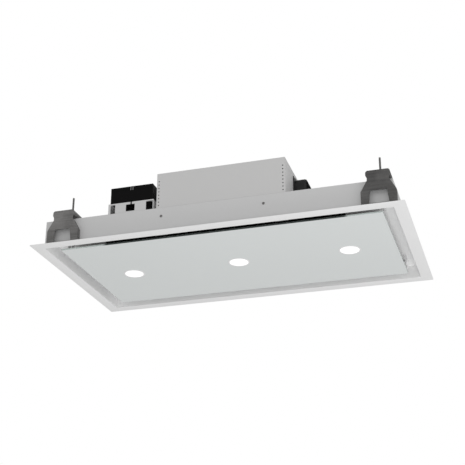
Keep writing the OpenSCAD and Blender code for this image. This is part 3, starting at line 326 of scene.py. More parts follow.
def lit_diffuser(name):
    """A frosted lens with light behind it, slightly uneven as its prisms are."""
    finish = Finish(name)
    prisms = finish.noise(400.0, 1.0)
    return finish.done(
        Base_Color=finish.blend(prisms, grey(0.86), grey(0.92)), Roughness=prisms * 0.1 + 0.45,
        Emission_Color=finish.blend(prisms, (0.90, 0.91, 0.90), (1.0, 1.0, 0.99)),
        Emission_Strength=0.42,
    )


def circuit_lacquer(name):
    """Green lacquer over copper tracks that run along X and Y."""
    finish = Finish(name)
    x, y = finish.axes()[:2]
    tracks = ((x * 900.0).wave() * (y * 1100.0).wave()).clip(0.3, 0.45)
    tone = finish.blend(tracks, (0.012, 0.09, 0.03), (0.05, 0.2, 0.07))
    return finish.done(Base_Color=tone, Roughness=0.3, Normal=finish.relief(tracks, 0.06 * MM))


def soft_rubber(name, level):
    """Dull black rubber with a dusty bloom."""
    finish = Finish(name)
    bloom = finish.noise(120.0, 4.0)
    return finish.done(
        Base_Color=finish.blend(bloom, grey(level), grey(level * 2.2)), Roughness=bloom * 0.15 + 0.7,
        Normal=finish.relief(bloom, 0.05 * MM),
    )


# The blower cover's inside, painted near black as painted shade behind its vents; it ends at its back
# wall and not at the foot behind that
COVER_FOOT = 14 * MM
SKIN = 0.3 * MM
cover_low, cover_high = np.array(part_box("motor_box"))
cover_inside = (cover_low + SKIN, cover_high - (SKIN, SKIN + COVER_FOOT, SKIN))

pane_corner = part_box("glass_panel")[1]
RECESS_CEILING = 32.2 * MM
# painted light: the left clamps get a paler copy of the same clamp zinc, standing for the brighter
# light on them
clamp_zinc_painted_light = dull_clamp_zinc("clamp_zinc_with_painted_light", 0.19)
# painted highlight: a pale plastic for the lid's clip ribs, standing for light catching the clip's
# edges
CLIP_RIB_HIGHLIGHT = moulded("clip_rib_painted_highlight", 0.30, rough=0.45)
FINISHES = {  # by material slot
    "white_paint": powder_coat("painted_flange", 0.825),
    "zinc_sheet": rolled_zinc("galvanised_sheet", 0.72, metallic=0.6, rough=0.45),
    "dark_steel": rolled_zinc(
        "dark_thread_zinc", 0.22, warm=0.02, grain=THREAD_GRAIN, metallic=0.8, rough=0.42
    ),
    "screw_steel": rolled_zinc("bright_screw_zinc", 0.62, grain=THREAD_GRAIN, metallic=0.9, rough=0.32),
    "clamp_steel": dull_clamp_zinc("dull_clamp_zinc", 0.115),
    "black_plastic": moulded("black_moulding", 0.004, shine=0.07),
    "dark_plastic": moulded("dark_grey_moulding", 0.03),
    "motor_casting": cast_metal("motor_casting", 0.5),
    "bush_rubber": soft_rubber("bush_rubber", 0.01),
    "board_green": circuit_lacquer("circuit_lacquer"),
    "pale_plastic": moulded("pale_moulding", 0.6, warm=0.02, rough=0.4, depth=0.03 * MM),
    "filter_dark": moulded("black_filter_coat", 0.004, rough=0.55, shine=0.2),
    "panel_glass": painted_glass(
        "painted_glass", pane_corner.x, pane_corner.y, painted_shade_x=15 * MM, painted_shade_half=300 * MM
    ),
    "white_rim": moulded("glossy_white_rim", 0.78, rough=0.25, depth=0.01 * MM),
    "spot_lens": lit_diffuser("lit_diffuser"),
    "heat_sink": cast_metal("heat_sink_casting", 0.3, rough=0.45),
}
OWN_FINISH = {  # by node
    "plenum_shell": powder_coat("painted_plenum", 0.65),
    "motor_box": powder_coat("painted_blower_cover", 0.63, 0.004, shaded_inside=cover_inside),
    "control_stand": powder_coat("painted_stand", 0.64),
    "duct_collar": moulded("duct_collar_moulding", 0.014, shine=0.35),
    # the recess's paint: paler than the flange's as painted light, darker on its walls as painted shade
    "recess_tray": recess_coat_with_painted_light("recess_paint_with_painted_light", 0.93, 0.86, RECESS_CEILING),
    "clamp_front_left": clamp_zinc_painted_light,
    "clamp_back_left": clamp_zinc_painted_light,
}
for node in ("hinge_brackets", "hinge_arms", "catch_clips", "catch_studs"):
    OWN_FINISH[node] = rolled_zinc("passivated_" + node, 0.80, metallic=0.15)


def finish_of(node):
    """A node's own finish, or else that of its slot."""
    return OWN_FINISH.get(node, FINISHES[SLOTS[node]])


for node, solid in frame["nodes"].items():
    solid.data.materials.clear()
    solid.data.materials.append(finish_of(node))


# ---------------------------------------------------------------- surfaces


def shell(points, wrap_rows=False):
    """Vertices and faces of closed surfaces through points[copy, row, column]. Columns close on
    themselves. Rows do too where said; otherwise a flat face closes the first and the last row.
    Where the volume comes out negative, every face is turned round."""
    points = points.reshape(-1, *points.shape[-3:])
    copies, rows, columns = points.shape[:3]
    index = np.arange(rows * columns).reshape(rows, columns)
    here, above = (index, np.roll(index, -1, 0)) if wrap_rows else (index[:-1], index[1:])
    corners = [here, np.roll(here, -1, 1), np.roll(above, -1, 1), above]
    faces = [np.stack(corners, -1).reshape(-1, 4)]
    if not wrap_rows:
        faces += [index[:1, ::-1], index[-1:]]
    first = points[0].reshape(-1, 3) - points[0].reshape(-1, 3).mean(0)
    volume = 0.0
    for face in faces:
        volume += np.sum(np.cross(first[face[:, :1]], first[face[:, 1:-1]]) * first[face[:, 2:]])
    if volume < 0:
        faces = [face[:, ::-1] for face in faces]
    starts = np.arange(copies)[:, None, None] * rows * columns
    return points.reshape(-1, 3), [(face + starts).reshape(-1, face.shape[1]) for face in faces]


def make_mesh(name, shells, finish, smooth_angle=35):
    """One object from several shells, shaded smooth where its faces meet below that angle."""
    vertices, faces, start = [], [], 0
    for part, part_faces in shells:
        vertices.append(part)
        faces += [row for group in part_faces for row in (group + start).tolist()]
        start += len(part)
    mesh = bpy.data.meshes.new(name)
    mesh.from_pydata(np.concatenate(vertices).tolist(), [], faces)
    mesh.shade_smooth()
    mesh.set_sharp_from_angle(angle=np.radians(smooth_angle))
    mesh.materials.append(finish)
    made = bpy.data.objects.new(name, mesh)
    bpy.context.scene.collection.objects.link(made)
    return made


def fit_on(made, node):
    """Puts a piece on a node's body and hides the node, whose place it takes."""
    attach(made, BODY[node])
    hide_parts(node)


def revolved(profile, columns=48):
    """The surface of revolution round Z: row i is a circle of radius profile[i, 0] at the height
    profile[i, 1]."""
    angle = TURN * np.arange(columns) / columns
    radius, height = profile[:, :1], profile[:, 1:2] + 0 * angle
    return np.stack([radius * np.cos(angle), radius * np.sin(angle), height], -1)


def arc(centre, radius, start, end, steps=6):
    """Points on a circle round centre, from one angle in degrees to another, both ends included."""
    angle = np.radians(np.linspace(start, end, steps))
    return np.stack([centre[0] + radius * np.cos(angle), centre[1] + radius * np.sin(angle)], -1)


def placed(points, origin, axis):
    """Points with their Z turned onto an axis and their origin moved to a place. The other two
    directions are the world axes next in order, so a piece's flats stay square to the part."""
    axis = np.asarray(axis, float)
    turn = int(np.abs(axis).argmax())
    first = np.eye(3)[(turn + 1) % 3]
    frame_axes = np.stack([first, np.cross(axis, first), axis])
    return points @ frame_axes + np.asarray(origin, float)


def on_loops(loops, height):
    """Loops of two coordinates, each with its own height for the third."""
    return np.concatenate([loops, np.broadcast_to(height[:, None, None], (*loops.shape[:2], 1))], -1)


def rounded_loops(half_a, half_b, corner, steps=7):
    """Row i is a rounded rectangle with the half sides half_a[i] and half_b[i]: each quarter turn
    is an arc of radius corner[i] round the point that far inside the rectangle's corner."""
    sides = (np.atleast_1d(side).astype(float) for side in (half_a, half_b, corner))
    half_a, half_b, corner = np.broadcast_arrays(*sides)
    angle = np.radians(90 * np.arange(4)[:, None] + np.linspace(0, 90, steps)).ravel()
    side_a = np.repeat([1, -1, -1, 1], steps)
    side_b = np.repeat([1, 1, -1, -1], steps)
    corner = corner[:, None]
    a = side_a * (half_a[:, None] - corner) + corner * np.cos(angle)
    b = side_b * (half_b[:, None] - corner) + corner * np.sin(angle)
    return np.stack([a, b], -1)


def solid_boxes(node):
    """The lowest and highest corners of each solid in a node. Points within a thousandth of a
    millimetre are merged. Then labels spread along the edges, the smaller one winning, until they
    stop changing."""
    mesh = frame["nodes"][node].data
    points = np.empty(len(mesh.vertices) * 3, np.float32)
    mesh.vertices.foreach_get("co", points)
    ends = np.empty(len(mesh.edges) * 2, np.int32)
    mesh.edges.foreach_get("vertices", ends)
    points, index = np.unique(points.reshape(-1, 3).round(6), axis=0, return_inverse=True)
    ends = index.ravel()[ends].reshape(-1, 2)
    label, before = np.arange(len(points)), None
    while before is None or (label != before).any():
        before = label.copy()
        least = label[ends].min(1)
        np.minimum.at(label, ends[:, 0], least)
        np.minimum.at(label, ends[:, 1], least)
        label = label[label]
    groups = [points[label == which] for which in np.unique(label)]
    return np.array([[group.min(0), group.max(0)] for group in groups], float)


# An edge that gets a fold, or a cut, is at least so long
FOLD_LENGTH, CUT_LENGTH = 15 * MM, 0.2 * MM
# How far the surface turns over a flat face's own edges, an outside edge and a sharp edge
FLAT_TURN, OUTSIDE_TURN, SHARP_TURN = np.radians((1, 40, 50))
# A facet of a round wall turns between these angles, and is no larger than that
FACET_TURN = (0.02, np.radians(30))
FACET_AREA = 30 * MM * MM
# A face of a rounded edge is narrower than that share of the radius, with fewer corners than that
STRIP_SHARE, STRIP_CORNERS = 1.1, 9
# Points so near are one point, and points so near a plane lie on it
SAME_PLACE, ON_PLANE = 0.001 * MM, 0.0001 * MM


def round_edges(work, radius, least_length, steps):
    """Rounds each outside edge that is long enough and whose two faces both reach further than
    twice the radius: a quarter circle in so many steps takes the edge's place, shaded smooth."""
    chosen = []
    for edge in work.edges:
        length = edge.calc_length()
        if edge.is_manifold and length > least_length and edge.calc_face_angle_signed() > OUTSIDE_TURN:
            if min(face.calc_area() for face in edge.link_faces) > 2 * radius * length:
                chosen.append(edge)
    rounded = bmesh.ops.bevel(
        work, geom=chosen, offset=radius, segments=steps, profile=0.5, affect="EDGES",
        clamp_overlap=True,
    )
    for face in rounded["faces"]:
        longest = max(edge.calc_length() for edge in face.edges)
        narrow = face.calc_area() <= STRIP_SHARE * radius * longest
        face.smooth = narrow and len(face.verts) < STRIP_CORNERS


def join_flat_faces(work, middle):
    """Joins the triangles of each flat face, but not across the two upright planes through the
    middle, so that a ring round an opening stays four simple faces."""
    for normal in np.eye(3)[:2]:
        everything = work.verts[:] + work.edges[:] + work.faces[:]
        bmesh.ops.bisect_plane(
            work, geom=everything, dist=ON_PLANE, plane_co=middle, plane_no=normal
        )
    joined = []
    for edge in work.edges:
        off = np.abs(np.array([vertex.co for vertex in edge.verts]) - middle)[:, :2].max(0)
        if off.min() > SAME_PLACE:
            joined.append(edge)
    bmesh.ops.dissolve_limit(work, angle_limit=FLAT_TURN, verts=work.verts, edges=joined)


def softened(name, node, fold=0.0, cut=0.25 * MM, steps=3):
    """A copy of a node with rounded edges. Its triangles are merged and its flat faces joined, then
    the long edges of its larger faces get the fold's radius, and the other outside edges the cut's.
    Flat faces stay flat, and the facets of a round wall are shaded smooth. The solid's own normals
    no longer fit, so they are dropped."""
    work = bmesh.new()
    work.from_mesh(frame["nodes"][node].data)
    bmesh.ops.remove_doubles(work, verts=work.verts, dist=SAME_PLACE)
    join_flat_faces(work, np.array(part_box(node)).mean(0))
    for face in work.faces:
        face.smooth = False
    if fold:
        round_edges(work, fold, FOLD_LENGTH, steps)
    round_edges(work, cut, CUT_LENGTH, steps=2)
    for face in work.faces:
        hard = [edge for edge in face.edges if not any(near.smooth for near in edge.link_faces)]
        curved = any(FACET_TURN[0] < edge.calc_face_angle(0) < FACET_TURN[1] for edge in hard)
        face.smooth |= face.calc_area() < FACET_AREA and curved
    smooth = [face.smooth for face in work.faces]
    mesh = bpy.data.meshes.new(name)
    work.to_mesh(mesh)
    work.free()
    if mesh.attributes.get("custom_normal"):
        mesh.attributes.remove(mesh.attributes["custom_normal"])
    mesh.set_sharp_from_angle(angle=SHARP_TURN)
    mesh.polygons.foreach_set("use_smooth", smooth)
    mesh.materials.clear()
    mesh.materials.append(finish_of(node))
    made = bpy.data.objects.new(name, mesh)
    bpy.context.scene.collection.objects.link(made)
    fit_on(made, node)


def dressed(name, node, shells, smooth_angle=35):
    """A piece made of shells that takes a node's place and its finish."""
    fit_on(make_mesh(name, shells, finish_of(node), smooth_angle), node)


# ---------------------------------------------------------------- stage

FLOOR_Z, FLOOR_R, FLOOR_T = -2.6, 30.0, 0.02


def disc_points(radius, top, thick, rows=24, columns=96):
    """A flat disc: the radius of the upper rows grows evenly from nearly nothing, and two lower rows
    lead back to the middle."""
    reach = radius * np.append(np.linspace(0.001, 1, rows), [1, 0.001])
    depth = np.append(np.zeros(rows), [-thick, -thick]) + top
    return revolved(np.stack([reach, depth], -1), columns)


floor_coat = powder_coat("pale_floor", 0.82, rough=0.7)
make_mesh("studio_floor", [shell(disc_points(FLOOR_R, FLOOR_Z, FLOOR_T))], floor_coat)


def soft_light(name, place, aim, size, power):
    """A square soft light that shines from place to aim and isn't seen itself."""
    lamp = bpy.data.lights.new(name, "AREA")
    lamp.shape, lamp.size, lamp.energy = "SQUARE", size, power
    made = bpy.data.objects.new(name, lamp)
    made.location = place
    made.rotation_euler = (Vector(aim) - Vector(place)).to_track_quat("-Z", "Y").to_euler()
    made.visible_camera = False
    bpy.context.scene.collection.objects.link(made)


def studio_world(strength):
    """White all round for the camera, and a soft even light of that strength for everything else."""
    world = bpy.data.worlds.new("studio")
    world.use_nodes = True
    nodes, links = world.node_tree.nodes, world.node_tree.links
    nodes.clear()
    seen = nodes.new("ShaderNodeLightPath").outputs["Is Camera Ray"]
    level = nodes.new("ShaderNodeMapRange")
    level.inputs["To Min"].default_value, level.inputs["To Max"].default_value = strength, 1.0
    back = nodes.new("ShaderNodeBackground")
    back.inputs["Color"].default_value = (1, 1, 1, 1)
    links.new(seen, level.inputs["Value"])
    links.new(level.outputs["Result"], back.inputs["Strength"])
    links.new(back.outputs["Background"], nodes.new("ShaderNodeOutputWorld").inputs["Surface"])
    bpy.context.scene.world = world


studio_world(0.62)
soft_light("light_by_the_camera", (0.7, -2.6, -1.1), (0, 0, 0), 1.0, 10)
soft_light("light_from_below", (1.0, -0.9, -2.35), (0.1, 0, 0), 1.4, 20)
soft_light("light_from_the_right", (2.4, -1.2, -1.2), (0, 0, 0), 1.8, 5)
soft_light("light_from_above", (-0.4, 1.7, 2.6), (0, 0, 0), 2.4, 40)


# ---------------------------------------------------------------- pieces below the ceiling


def flange_points(half_w, half_d, corner, ring, thick, edge):
    """The flange: its cross section, with round edges below, carried round a rectangle. A row of
    the section that lies g inside the outer edge follows the rectangle shrunk by g."""
    section = np.concatenate([
        [(-ring, 0), (-0.3 * edge, 0), (0, -0.3 * edge)],
        arc((-edge, edge - thick), edge, 0, -90), arc((edge - ring, edge - thick), edge, -90, -180),
    ])
    grow = section[:, 0]
    loops = rounded_loops(half_w + grow, half_d + grow, np.maximum(corner + grow, 0.1 * MM))
    return on_loops(loops, section[:, 1])


RECESS_WALL = 0.8 * MM
FLANGE_CORNER, FLANGE_EDGE = 2 * MM, 0.5 * MM
low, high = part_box("flange_frame")
ring = high.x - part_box("recess_tray")[1].x + RECESS_WALL
points = flange_points(high.x, high.y, FLANGE_CORNER, ring, -low.z, FLANGE_EDGE)
dressed("flange_ring", "flange_frame", [shell(points, wrap_rows=True)])

softened("glass_pane", "glass_panel", cut=0.5 * MM)


def at_each(points, centres):
    """The same points once for each centre."""
    return points + np.asarray(centres, float)[:, None, None, :]


def lens_section(radius, low_z, high_z, rings, wave):
    """Half of a diffuser's section: its face ripples in so many rings as a cosine of the radius."""
    reach = np.linspace(NEARLY_NONE, radius, 8 * rings)
    face = low_z + wave * (1 - np.cos(TURN * rings * reach / radius)) / 2
    return np.concatenate([np.stack([reach, face], -1), [(radius, high_z), (NEARLY_NONE, high_z)]])


NEARLY_NONE = 0.01 * MM  # the radius of the small hole that a flat face closes
LENS_RINGS, LENS_WAVE = 9, 0.12 * MM
LENS_GAP = 0.05 * MM
RIM_INSIDE, RIM_OUTSIDE = 0.9 * MM, 0.5 * MM  # radii of the rim's two lower edges
COLLAR_GAP = 0.1 * MM
lens_boxes = solid_boxes("spot_lenses")
spot_centres = lens_boxes.mean(1) * (1, 1, 0)
lens_r = (lens_boxes[0, 1, 0] - lens_boxes[0, 0, 0]) / 2
points = revolved(lens_section(lens_r, *lens_boxes[0, :, 2], LENS_RINGS, LENS_WAVE), 72)
dressed("spot_diffusers", "spot_lenses", [shell(at_each(points, spot_centres))], 60)

rim_boxes = solid_boxes("spot_rims")
rim_r = (rim_boxes[0, 1, 0] - rim_boxes[0, 0, 0]) / 2
rim_in = lens_r + LENS_GAP
neck_r = (rim_in + rim_r) / 2 - COLLAR_GAP
rim_low, rim_high = rim_boxes[0, :, 2]
rim_section = np.concatenate([
    [(rim_in, rim_high), (rim_in, rim_low + RIM_INSIDE)],
    arc((rim_in + RIM_INSIDE, rim_low + RIM_INSIDE), RIM_INSIDE, 180, 270),
    arc((rim_r - RIM_OUTSIDE, rim_low + RIM_OUTSIDE), RIM_OUTSIDE, 270, 360),
    [(neck_r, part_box("glass_panel")[0].z), (neck_r, rim_high)],
])
points = at_each(revolved(rim_section, 96), spot_centres)
dressed("spot_bezels", "spot_rims", [shell(points, wrap_rows=True)])

softened("panel_back_tray", "panel_tray", fold=1.2 * MM)
softened("recess_walls", "recess_tray", fold=0.6 * MM)
for side in ("left", "right"):
    softened(f"filter_frame_pressed_{side}", f"filter_frame_{side}", fold=0.8 * MM)
    softened(f"filter_latch_moulded_{side}", f"filter_latch_{side}", fold=0.6 * MM)
softened("hinge_brackets_folded", "hinge_brackets", fold=1.2 * MM)
softened("hinge_arms_pressed", "hinge_arms", fold=0.8 * MM)
softened("catch_clips_sprung", "catch_clips", fold=0.5 * MM)


MESH_COLUMNS, MESH_ROWS, STRAND = 22, 34, 1.5 * MM
STRAND_TIP = 0.8  # where a swing goes flat, as a share of its height
STRAND_FILL = 0.8  # a strand's thickness, as a share of its layer's


def strand_points(low, high, columns, rows, width, layers=2):
    """Expanded mesh: strand i runs along X and swings across Y as a triangle wave with flat tips,
    half a swing out of step with its neighbours, so that neighbours touch and lozenges stay open
    between them. The upper layer is shifted by half a lozenge."""
    x = np.linspace(low[0], high[0], 4 * columns + 1)
    swing = (high[1] - low[1] - width) / rows / 2
    strand = np.arange(rows)[:, None]
    thick = (high[2] - low[2]) / layers
    corners = 0.5 * width * np.array([(-1, -1), (1, -1), (1, 1), (-1, 1)])
    sheets = []
    for layer in range(layers):
        phase = (x - x[0]) / (x[-1] - x[0]) * columns + 0.5 * layer
        wave = np.clip(abs(2 * (phase % 1) - 1) * 2 - 1, -STRAND_TIP, STRAND_TIP) / STRAND_TIP
        middle = low[1] + width / 2 + swing * (2 * strand + 1 + wave * np.where(strand % 2, 1, -1))
        y = middle[..., None] + corners[:, 0]
        z = low[2] + thick * (layer + 0.5) + STRAND_FILL * thick / width * corners[:, 1] + 0 * y
        sheets.append(np.stack([x[None, :, None] + 0 * y, y, z], -1))
    return np.concatenate(sheets)


for side in ("left", "right"):
    points = strand_points(*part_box(f"filter_mesh_{side}"), MESH_COLUMNS, MESH_ROWS, STRAND)
    dressed(f"filter_mesh_expanded_{side}", f"filter_mesh_{side}", [shell(points)], 20)


def pin_section(half, head, body_share=0.625, cap=1.5 * MM):
    """Half of a riveted pin's section: a shank between two caps with a rounded rim."""
    rim = 0.6 * cap
    end = np.concatenate([
        [(0.05 * MM, half), (0.5 * head, half)],
        arc((head - rim, half - rim), rim, 90, 0),
        [(head, half - cap), (body_share * head, half - cap)],
    ])
    return np.concatenate([end, end[::-1] * (1, -1)])


pins = []
for low, high in solid_boxes("hinge_pins"):
    half, head = (high - low)[0] / 2, (high - low)[2] / 2
    pins.append(shell(placed(revolved(pin_section(half, head)), (low + high) / 2, (1, 0, 0))))
dressed("hinge_pins_riveted", "hinge_pins", pins)


# ---------------------------------------------------------------- pieces above the ceiling

softened("plenum_folded", "plenum_shell", fold=1.4 * MM)
softened("blower_cover", "motor_box", fold=1.6 * MM)
softened("control_cradle", "control_stand", fold=1.0 * MM)
softened("control_case", "control_box", fold=1.2 * MM)
softened("control_case_lid", "control_lid", fold=1.4 * MM)
softened("flap_moulded", "backdraft_flap", fold=0.4 * MM)
CORNERS = ("front_left", "front_right", "back_left", "back_right")
for place in CORNERS:
    softened(f"clamp_folded_{place}", f"clamp_{place}", fold=1.6 * MM, steps=4)

THREAD_PITCH, THREAD_DEPTH = 0.8 * MM, 0.45 * MM
NUT_PLAY, BORE_CUT = 0.1 * MM, 0.35 * MM
FOOT_CUT, FLANGE_CUT = 0.3 * MM, 0.4 * MM
NUT_SLOPE = 0.6  # how far the cone on a nut's corners drops over its width


def thread_points(radius, length, pitch, depth, columns=18, per_turn=5):
    """A threaded rod standing on the origin. Its radius falls by up to depth as a triangle wave of
    height over pitch less the share of the turn, and by a cone over its last pitch."""
    height = np.linspace(0, length, round(length / pitch * per_turn))[:, None]
    angle = TURN * np.arange(columns) / columns
    groove = abs(2 * ((height / pitch - angle / TURN) % 1) - 1)
    cone = np.clip((height - length + pitch) / pitch, 0, 1) * 0.3 * radius
    reach = np.minimum(radius - depth * groove, radius - cone)
    return np.stack([reach * np.cos(angle), reach * np.sin(angle), height + 0 * angle], -1)


def upright_solids(node):
    """Where a node's solids stand, and the half width and the height of the first of them."""
    boxes = solid_boxes(node)
    extent = boxes[0, 1] - boxes[0, 0]
    return boxes.mean(1) * (1, 1, 0) + (0, 0, 1) * boxes[:, 0], extent[0] / 2, extent[2]


rod_feet, rod_r, rod_length = upright_solids("clamp_rods")
points = thread_points(rod_r, rod_length, THREAD_PITCH, THREAD_DEPTH)
dressed("threaded_rods", "clamp_rods", [shell(at_each(points, rod_feet))], 75)


def nut_points(corner, height, bore, flange=0.0, flange_h=0.0, columns=60):
    """A hexagonal nut standing on the origin, on a round flange where it has one. A row's radius is
    the lesser of the hexagon's and that of a cone, which cuts the six top corners in arcs."""
    angle = TURN * np.arange(columns) / columns
    flat = corner * np.cos(np.pi / 6) / np.cos(angle % (np.pi / 3) - np.pi / 6)
    apothem, step = corner * np.cos(np.pi / 6), corner - corner * np.cos(np.pi / 6)
    rows = [(bore, 0, 0)]
    if flange:
        rows += [
            (flange - FOOT_CUT, 0, 0), (flange, FOOT_CUT, 0), (flange, 0.7 * flange_h, 0),
            (flange - FLANGE_CUT, flange_h, 0), (corner, flange_h, 1),
        ]
    else:
        rows += [(apothem, 0, 1), (corner, NUT_SLOPE * step, 1)]
    for share in np.linspace(0, 1, 5):
        rows.append((corner - share * step, height - (1 - share) * NUT_SLOPE * step, 1))
    rows += [(bore + BORE_CUT, height, 0), (bore, height - BORE_CUT, 0)]
    limit, level, hexed = np.array(rows).T[:, :, None]
    reach = np.where(hexed > 0, np.minimum(limit, flat), limit)
    return np.stack([reach * np.cos(angle), reach * np.sin(angle), level + 0 * angle], -1)


nut_feet, nut_r, nut_h = upright_solids("rod_nuts")
bore = rod_r + NUT_PLAY
points = at_each(nut_points(nut_r, nut_h, bore), nut_feet)
dressed("rod_foot_nuts", "rod_nuts", [shell(points, wrap_rows=True)], 30)
for place in CORNERS:
    foot, flange_r, height = upright_solids(f"nut_{place}")
    points = at_each(nut_points(nut_r, height, bore, flange_r, height - nut_h), foot)
    dressed(f"clamp_nut_{place}", f"nut_{place}", [shell(points, wrap_rows=True)], 30)


SHANK_R, HEAD_H = 1.93 * MM, 1.8 * MM
# The cross in a screw's head, in shares of the head's radius: its arms and the slopes at their ends
ARM_HALF, ARM_SLOPE, ARM_REACH, REACH_SLOPE = 0.17, 0.06, 0.66, 0.14


def screw_points(shank, length, head, height, columns=48):
    """A pan-head screw whose head rests on the origin. The head's outline is a quarter of a flat
    ellipse, and a cross is pressed into it: it is deepest where the nearer of |x| and |y| is small
    and the radius is short."""
    tip = [
        (0.02 * MM, -length), (0.5 * shank, -length), (shank, -length + 0.6 * shank),
        (shank, 0), (head, 0),
    ]
    lift = np.radians(np.linspace(8, 90, 22))
    dome = np.stack([head * np.cos(lift) + 0.02 * MM, height * np.sin(lift) ** 0.8], -1)
    points = revolved(np.concatenate([tip, dome]), columns)
    x, y = points[..., 0], points[..., 1]
    in_arms = np.clip((ARM_HALF - np.minimum(abs(x), abs(y)) / head) / ARM_SLOPE, 0, 1)
    in_reach = np.clip((ARM_REACH - np.hypot(x, y) / head) / REACH_SLOPE, 0, 1)
    points[len(tip):, :, 2] -= 0.5 * height * (in_arms * in_reach)[len(tip):]
    return points


def screw_set(name, node, axis, both_ways=False):
    """Pan-head screws where a node has them. Each head points along the axis, or with both_ways
    along it or against it, away from the part's middle."""
    shells = []
    way = int(np.abs(axis).argmax())
    for low, high in solid_boxes(node):
        outward = np.array(axis, float)
        if both_ways:
            outward *= np.sign((low + high)[way])
        across, length = (high - low)[(way + 1) % 3], (high - low)[way] - HEAD_H
        origin = (low + high) / 2 + outward * (length - HEAD_H) / 2
        shells.append(shell(placed(screw_points(SHANK_R, length, across / 2, HEAD_H), origin, outward)))
    dressed(name, node, shells, 40)


screw_set("plenum_side_screws", "plenum_screws", (0, 1, 0), both_ways=True)
screw_set("cover_foot_screws", "box_screws", (0, 0, 1))
screw_set("cradle_foot_screws", "stand_screws", (0, 0, 1))
screw_set("collar_rim_screws", "collar_screws", (1, 0, 0))


# The collar's rim, its wall, and the ledge that the flap closes on
RIM, RIM_T, WALL, STOP = 7 * MM, 2.5 * MM, 2 * MM, 3 * MM
TUBE_CORNER, RIM_CORNER, FILLET = 8 * MM, 4 * MM, 0.8 * MM
LIP_TAPER, LIP_LENGTH = 1.4 * MM, 5 * MM
CUT, RIM_CUT = 0.3 * MM, 0.5 * MM


def collar_points(low, high):
    """The duct collar: a section carried round a rounded rectangle in the YZ plane. The section
    runs over the rim, along the tube, over its tapered lip, and back inside over the flap's stop."""
    length, inner, ledge = high[0] - low[0], TUBE_CORNER - WALL, WALL + STOP
    rows = [
        (RIM, 0, RIM_CORNER), (RIM, RIM_T - RIM_CUT, RIM_CORNER), (RIM - RIM_CUT, RIM_T, RIM_CORNER),
        (1.5 * FILLET, RIM_T, TUBE_CORNER + FILLET), (CUT, RIM_T + CUT, TUBE_CORNER),
        (0, RIM_T + FILLET, TUBE_CORNER),
    ]
    rows += [
        (-LIP_TAPER * share ** 2, length - LIP_LENGTH * (1 - share), TUBE_CORNER)
        for share in np.linspace(0, 1, 8)
    ]
    rows += [
        (CUT - WALL, length, inner), (-WALL, length - CUT, inner), (-WALL, RIM_T, inner),
        (CUT - ledge, RIM_T, inner), (-ledge, RIM_T - CUT, inner), (-ledge, 0, inner),
    ]
    grow, reach, corner = np.array(rows).T
    half = (high - low) / 2 - RIM
    loops = rounded_loops(half[1] + grow, half[2] + grow, corner) + ((low + high) / 2)[1:]
    return on_loops(loops, low[0] + reach)[..., (2, 0, 1)]


points = collar_points(*np.array(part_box("duct_collar")))
dressed("duct_collar_moulded", "duct_collar", [shell(points, wrap_rows=True)], 30)

GLAND_BORE, GLAND_HEX_T, GLAND_EDGE = 3.5 * MM, 5 * MM, 0.5 * MM
CORNER_OVER_BARREL = 1.4


def gland_points(corner, barrel, dome, inside, columns=96):
    """The cable gland along Z: a hexagon that stands on 0, a ribbed dome above it and a threaded
    barrel below. A row is its radius, its height, whether it is hexagonal, and its ribs' depth in
    millimetres, by which the radius falls as a cosine of twelve times the angle."""
    bore, hex_t, edge, thread = GLAND_BORE, GLAND_HEX_T, GLAND_EDGE, 0.4 * MM
    top = hex_t + dome
    angle = TURN * np.arange(columns) / columns
    flat = corner * np.cos(np.pi / 6) / np.cos((angle + np.pi / 6) % (np.pi / 3) - np.pi / 6)
    rows = [
        (bore, -inside, 0, 0), (barrel - thread, -inside, 0, 0), (barrel, thread - inside, 0, 0),
        (barrel, 0, 0, 0), (0.93 * corner, 0, 1, 0), (corner, edge, 1, 0), (corner, hex_t - edge, 1, 0),
        (0.93 * corner, hex_t, 1, 0), (1.08 * barrel, hex_t, 0, 0.1),
        (1.06 * barrel, hex_t + 0.3 * dome, 0, 0.5),
    ]
    for share in np.linspace(0, 1, 6):
        radius, height = 1.02 * barrel - 0.2 * barrel * share ** 2, hex_t + dome * (0.35 + 0.6 * share)
        rows.append((radius, height, 0, 0.5 * (1 - share)))
    rows += [(0.7 * barrel, top, 0, 0), (bore + edge, top, 0, 0), (bore, top - edge, 0, 0)]
    limit, level, hexed, rib = np.array(rows).T[:, :, None]
    ribbed = limit + rib * MM * (np.cos(12 * angle) - 1) / 2
    reach = np.where(hexed > 0, np.minimum(limit, flat), ribbed)
    return np.stack([reach * np.cos(angle), reach * np.sin(angle), level + 0 * angle], -1)


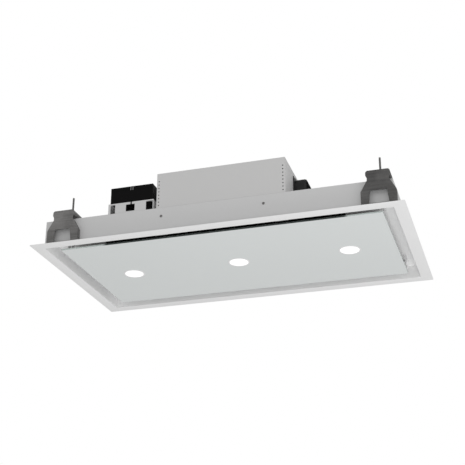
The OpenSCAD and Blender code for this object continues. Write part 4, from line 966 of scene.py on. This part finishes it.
low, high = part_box("cable_gland")
corner = (high.z - low.z) / 2
wall_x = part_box("control_box")[0].x
barrel = corner / CORNER_OVER_BARREL
points = gland_points(corner, barrel, wall_x - low.x - GLAND_HEX_T, high.x - wall_x)
points = placed(points, (wall_x, (low.y + high.y) / 2, (low.z + high.z) / 2), (-1, 0, 0))
dressed("cable_gland_ribbed", "cable_gland", [shell(points, wrap_rows=True)], 30)


def bar_points(low, high, edge):
    """An upright bar with round edges: its plan is a rounded rectangle that shrinks by a quarter
    circle of that radius towards both ends."""
    low, high = np.array(low), np.array(high)
    half = (high - low) / 2
    turn = np.radians([0, 30, 60, 85])
    grow = edge * (np.cos(turn) - 1)
    rise = half[2] - edge + edge * np.sin(turn)
    grow, rise = np.append(grow[::-1], grow), np.append(-rise[::-1], rise)
    loops = rounded_loops(half[0] + grow, half[1] + grow, np.maximum(edge + grow, 0.02 * edge), 4)
    return on_loops(loops, rise) + (low + high) / 2


# The lid's clip shows as two thin ribs at its front, pale on the black lid as a painted highlight of
# light catching the clip's edges, and the case's tongue hooks over the cradle.
# Each is half so wide, stands out and reaches in so far in Y, and has edges rounded so much.
RIB_HALF, RIB_OUT, RIB_IN, RIB_EDGE = 0.7 * MM, 0.6 * MM, 0.5 * MM, 0.5 * MM
RIB_AT, RIB_DROP = 2.7 * MM, 1.5 * MM
TONGUE_HALF, TONGUE_OUT, TONGUE_IN, TONGUE_EDGE = 1.6 * MM, 1.2 * MM, 0.4 * MM, 0.35 * MM
TONGUE_DROP, TONGUE_RISE = 7 * MM, 2 * MM
low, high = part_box("control_lid")
middle, front = (low.x + high.x) / 2, low.y
ribs = []
for x in (middle - RIB_AT, middle + RIB_AT):
    foot = (x - RIB_HALF, front - RIB_OUT, low.z - RIB_DROP)
    ribs.append(shell(bar_points(foot, (x + RIB_HALF, front + RIB_IN, high.z - RIB_EDGE), RIB_EDGE)))
rib_piece = make_mesh("lid_clip_ribs", ribs, CLIP_RIB_HIGHLIGHT)
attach(rib_piece, "housing")
seat_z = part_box("control_box")[0].z
foot = (middle - TONGUE_HALF, front - TONGUE_OUT, seat_z - TONGUE_DROP)
points = bar_points(foot, (middle + TONGUE_HALF, front + TONGUE_IN, seat_z + TONGUE_RISE), TONGUE_EDGE)
tongue = make_mesh("case_tongue", [shell(points)], FINISHES["black_plastic"])
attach(tongue, "housing")
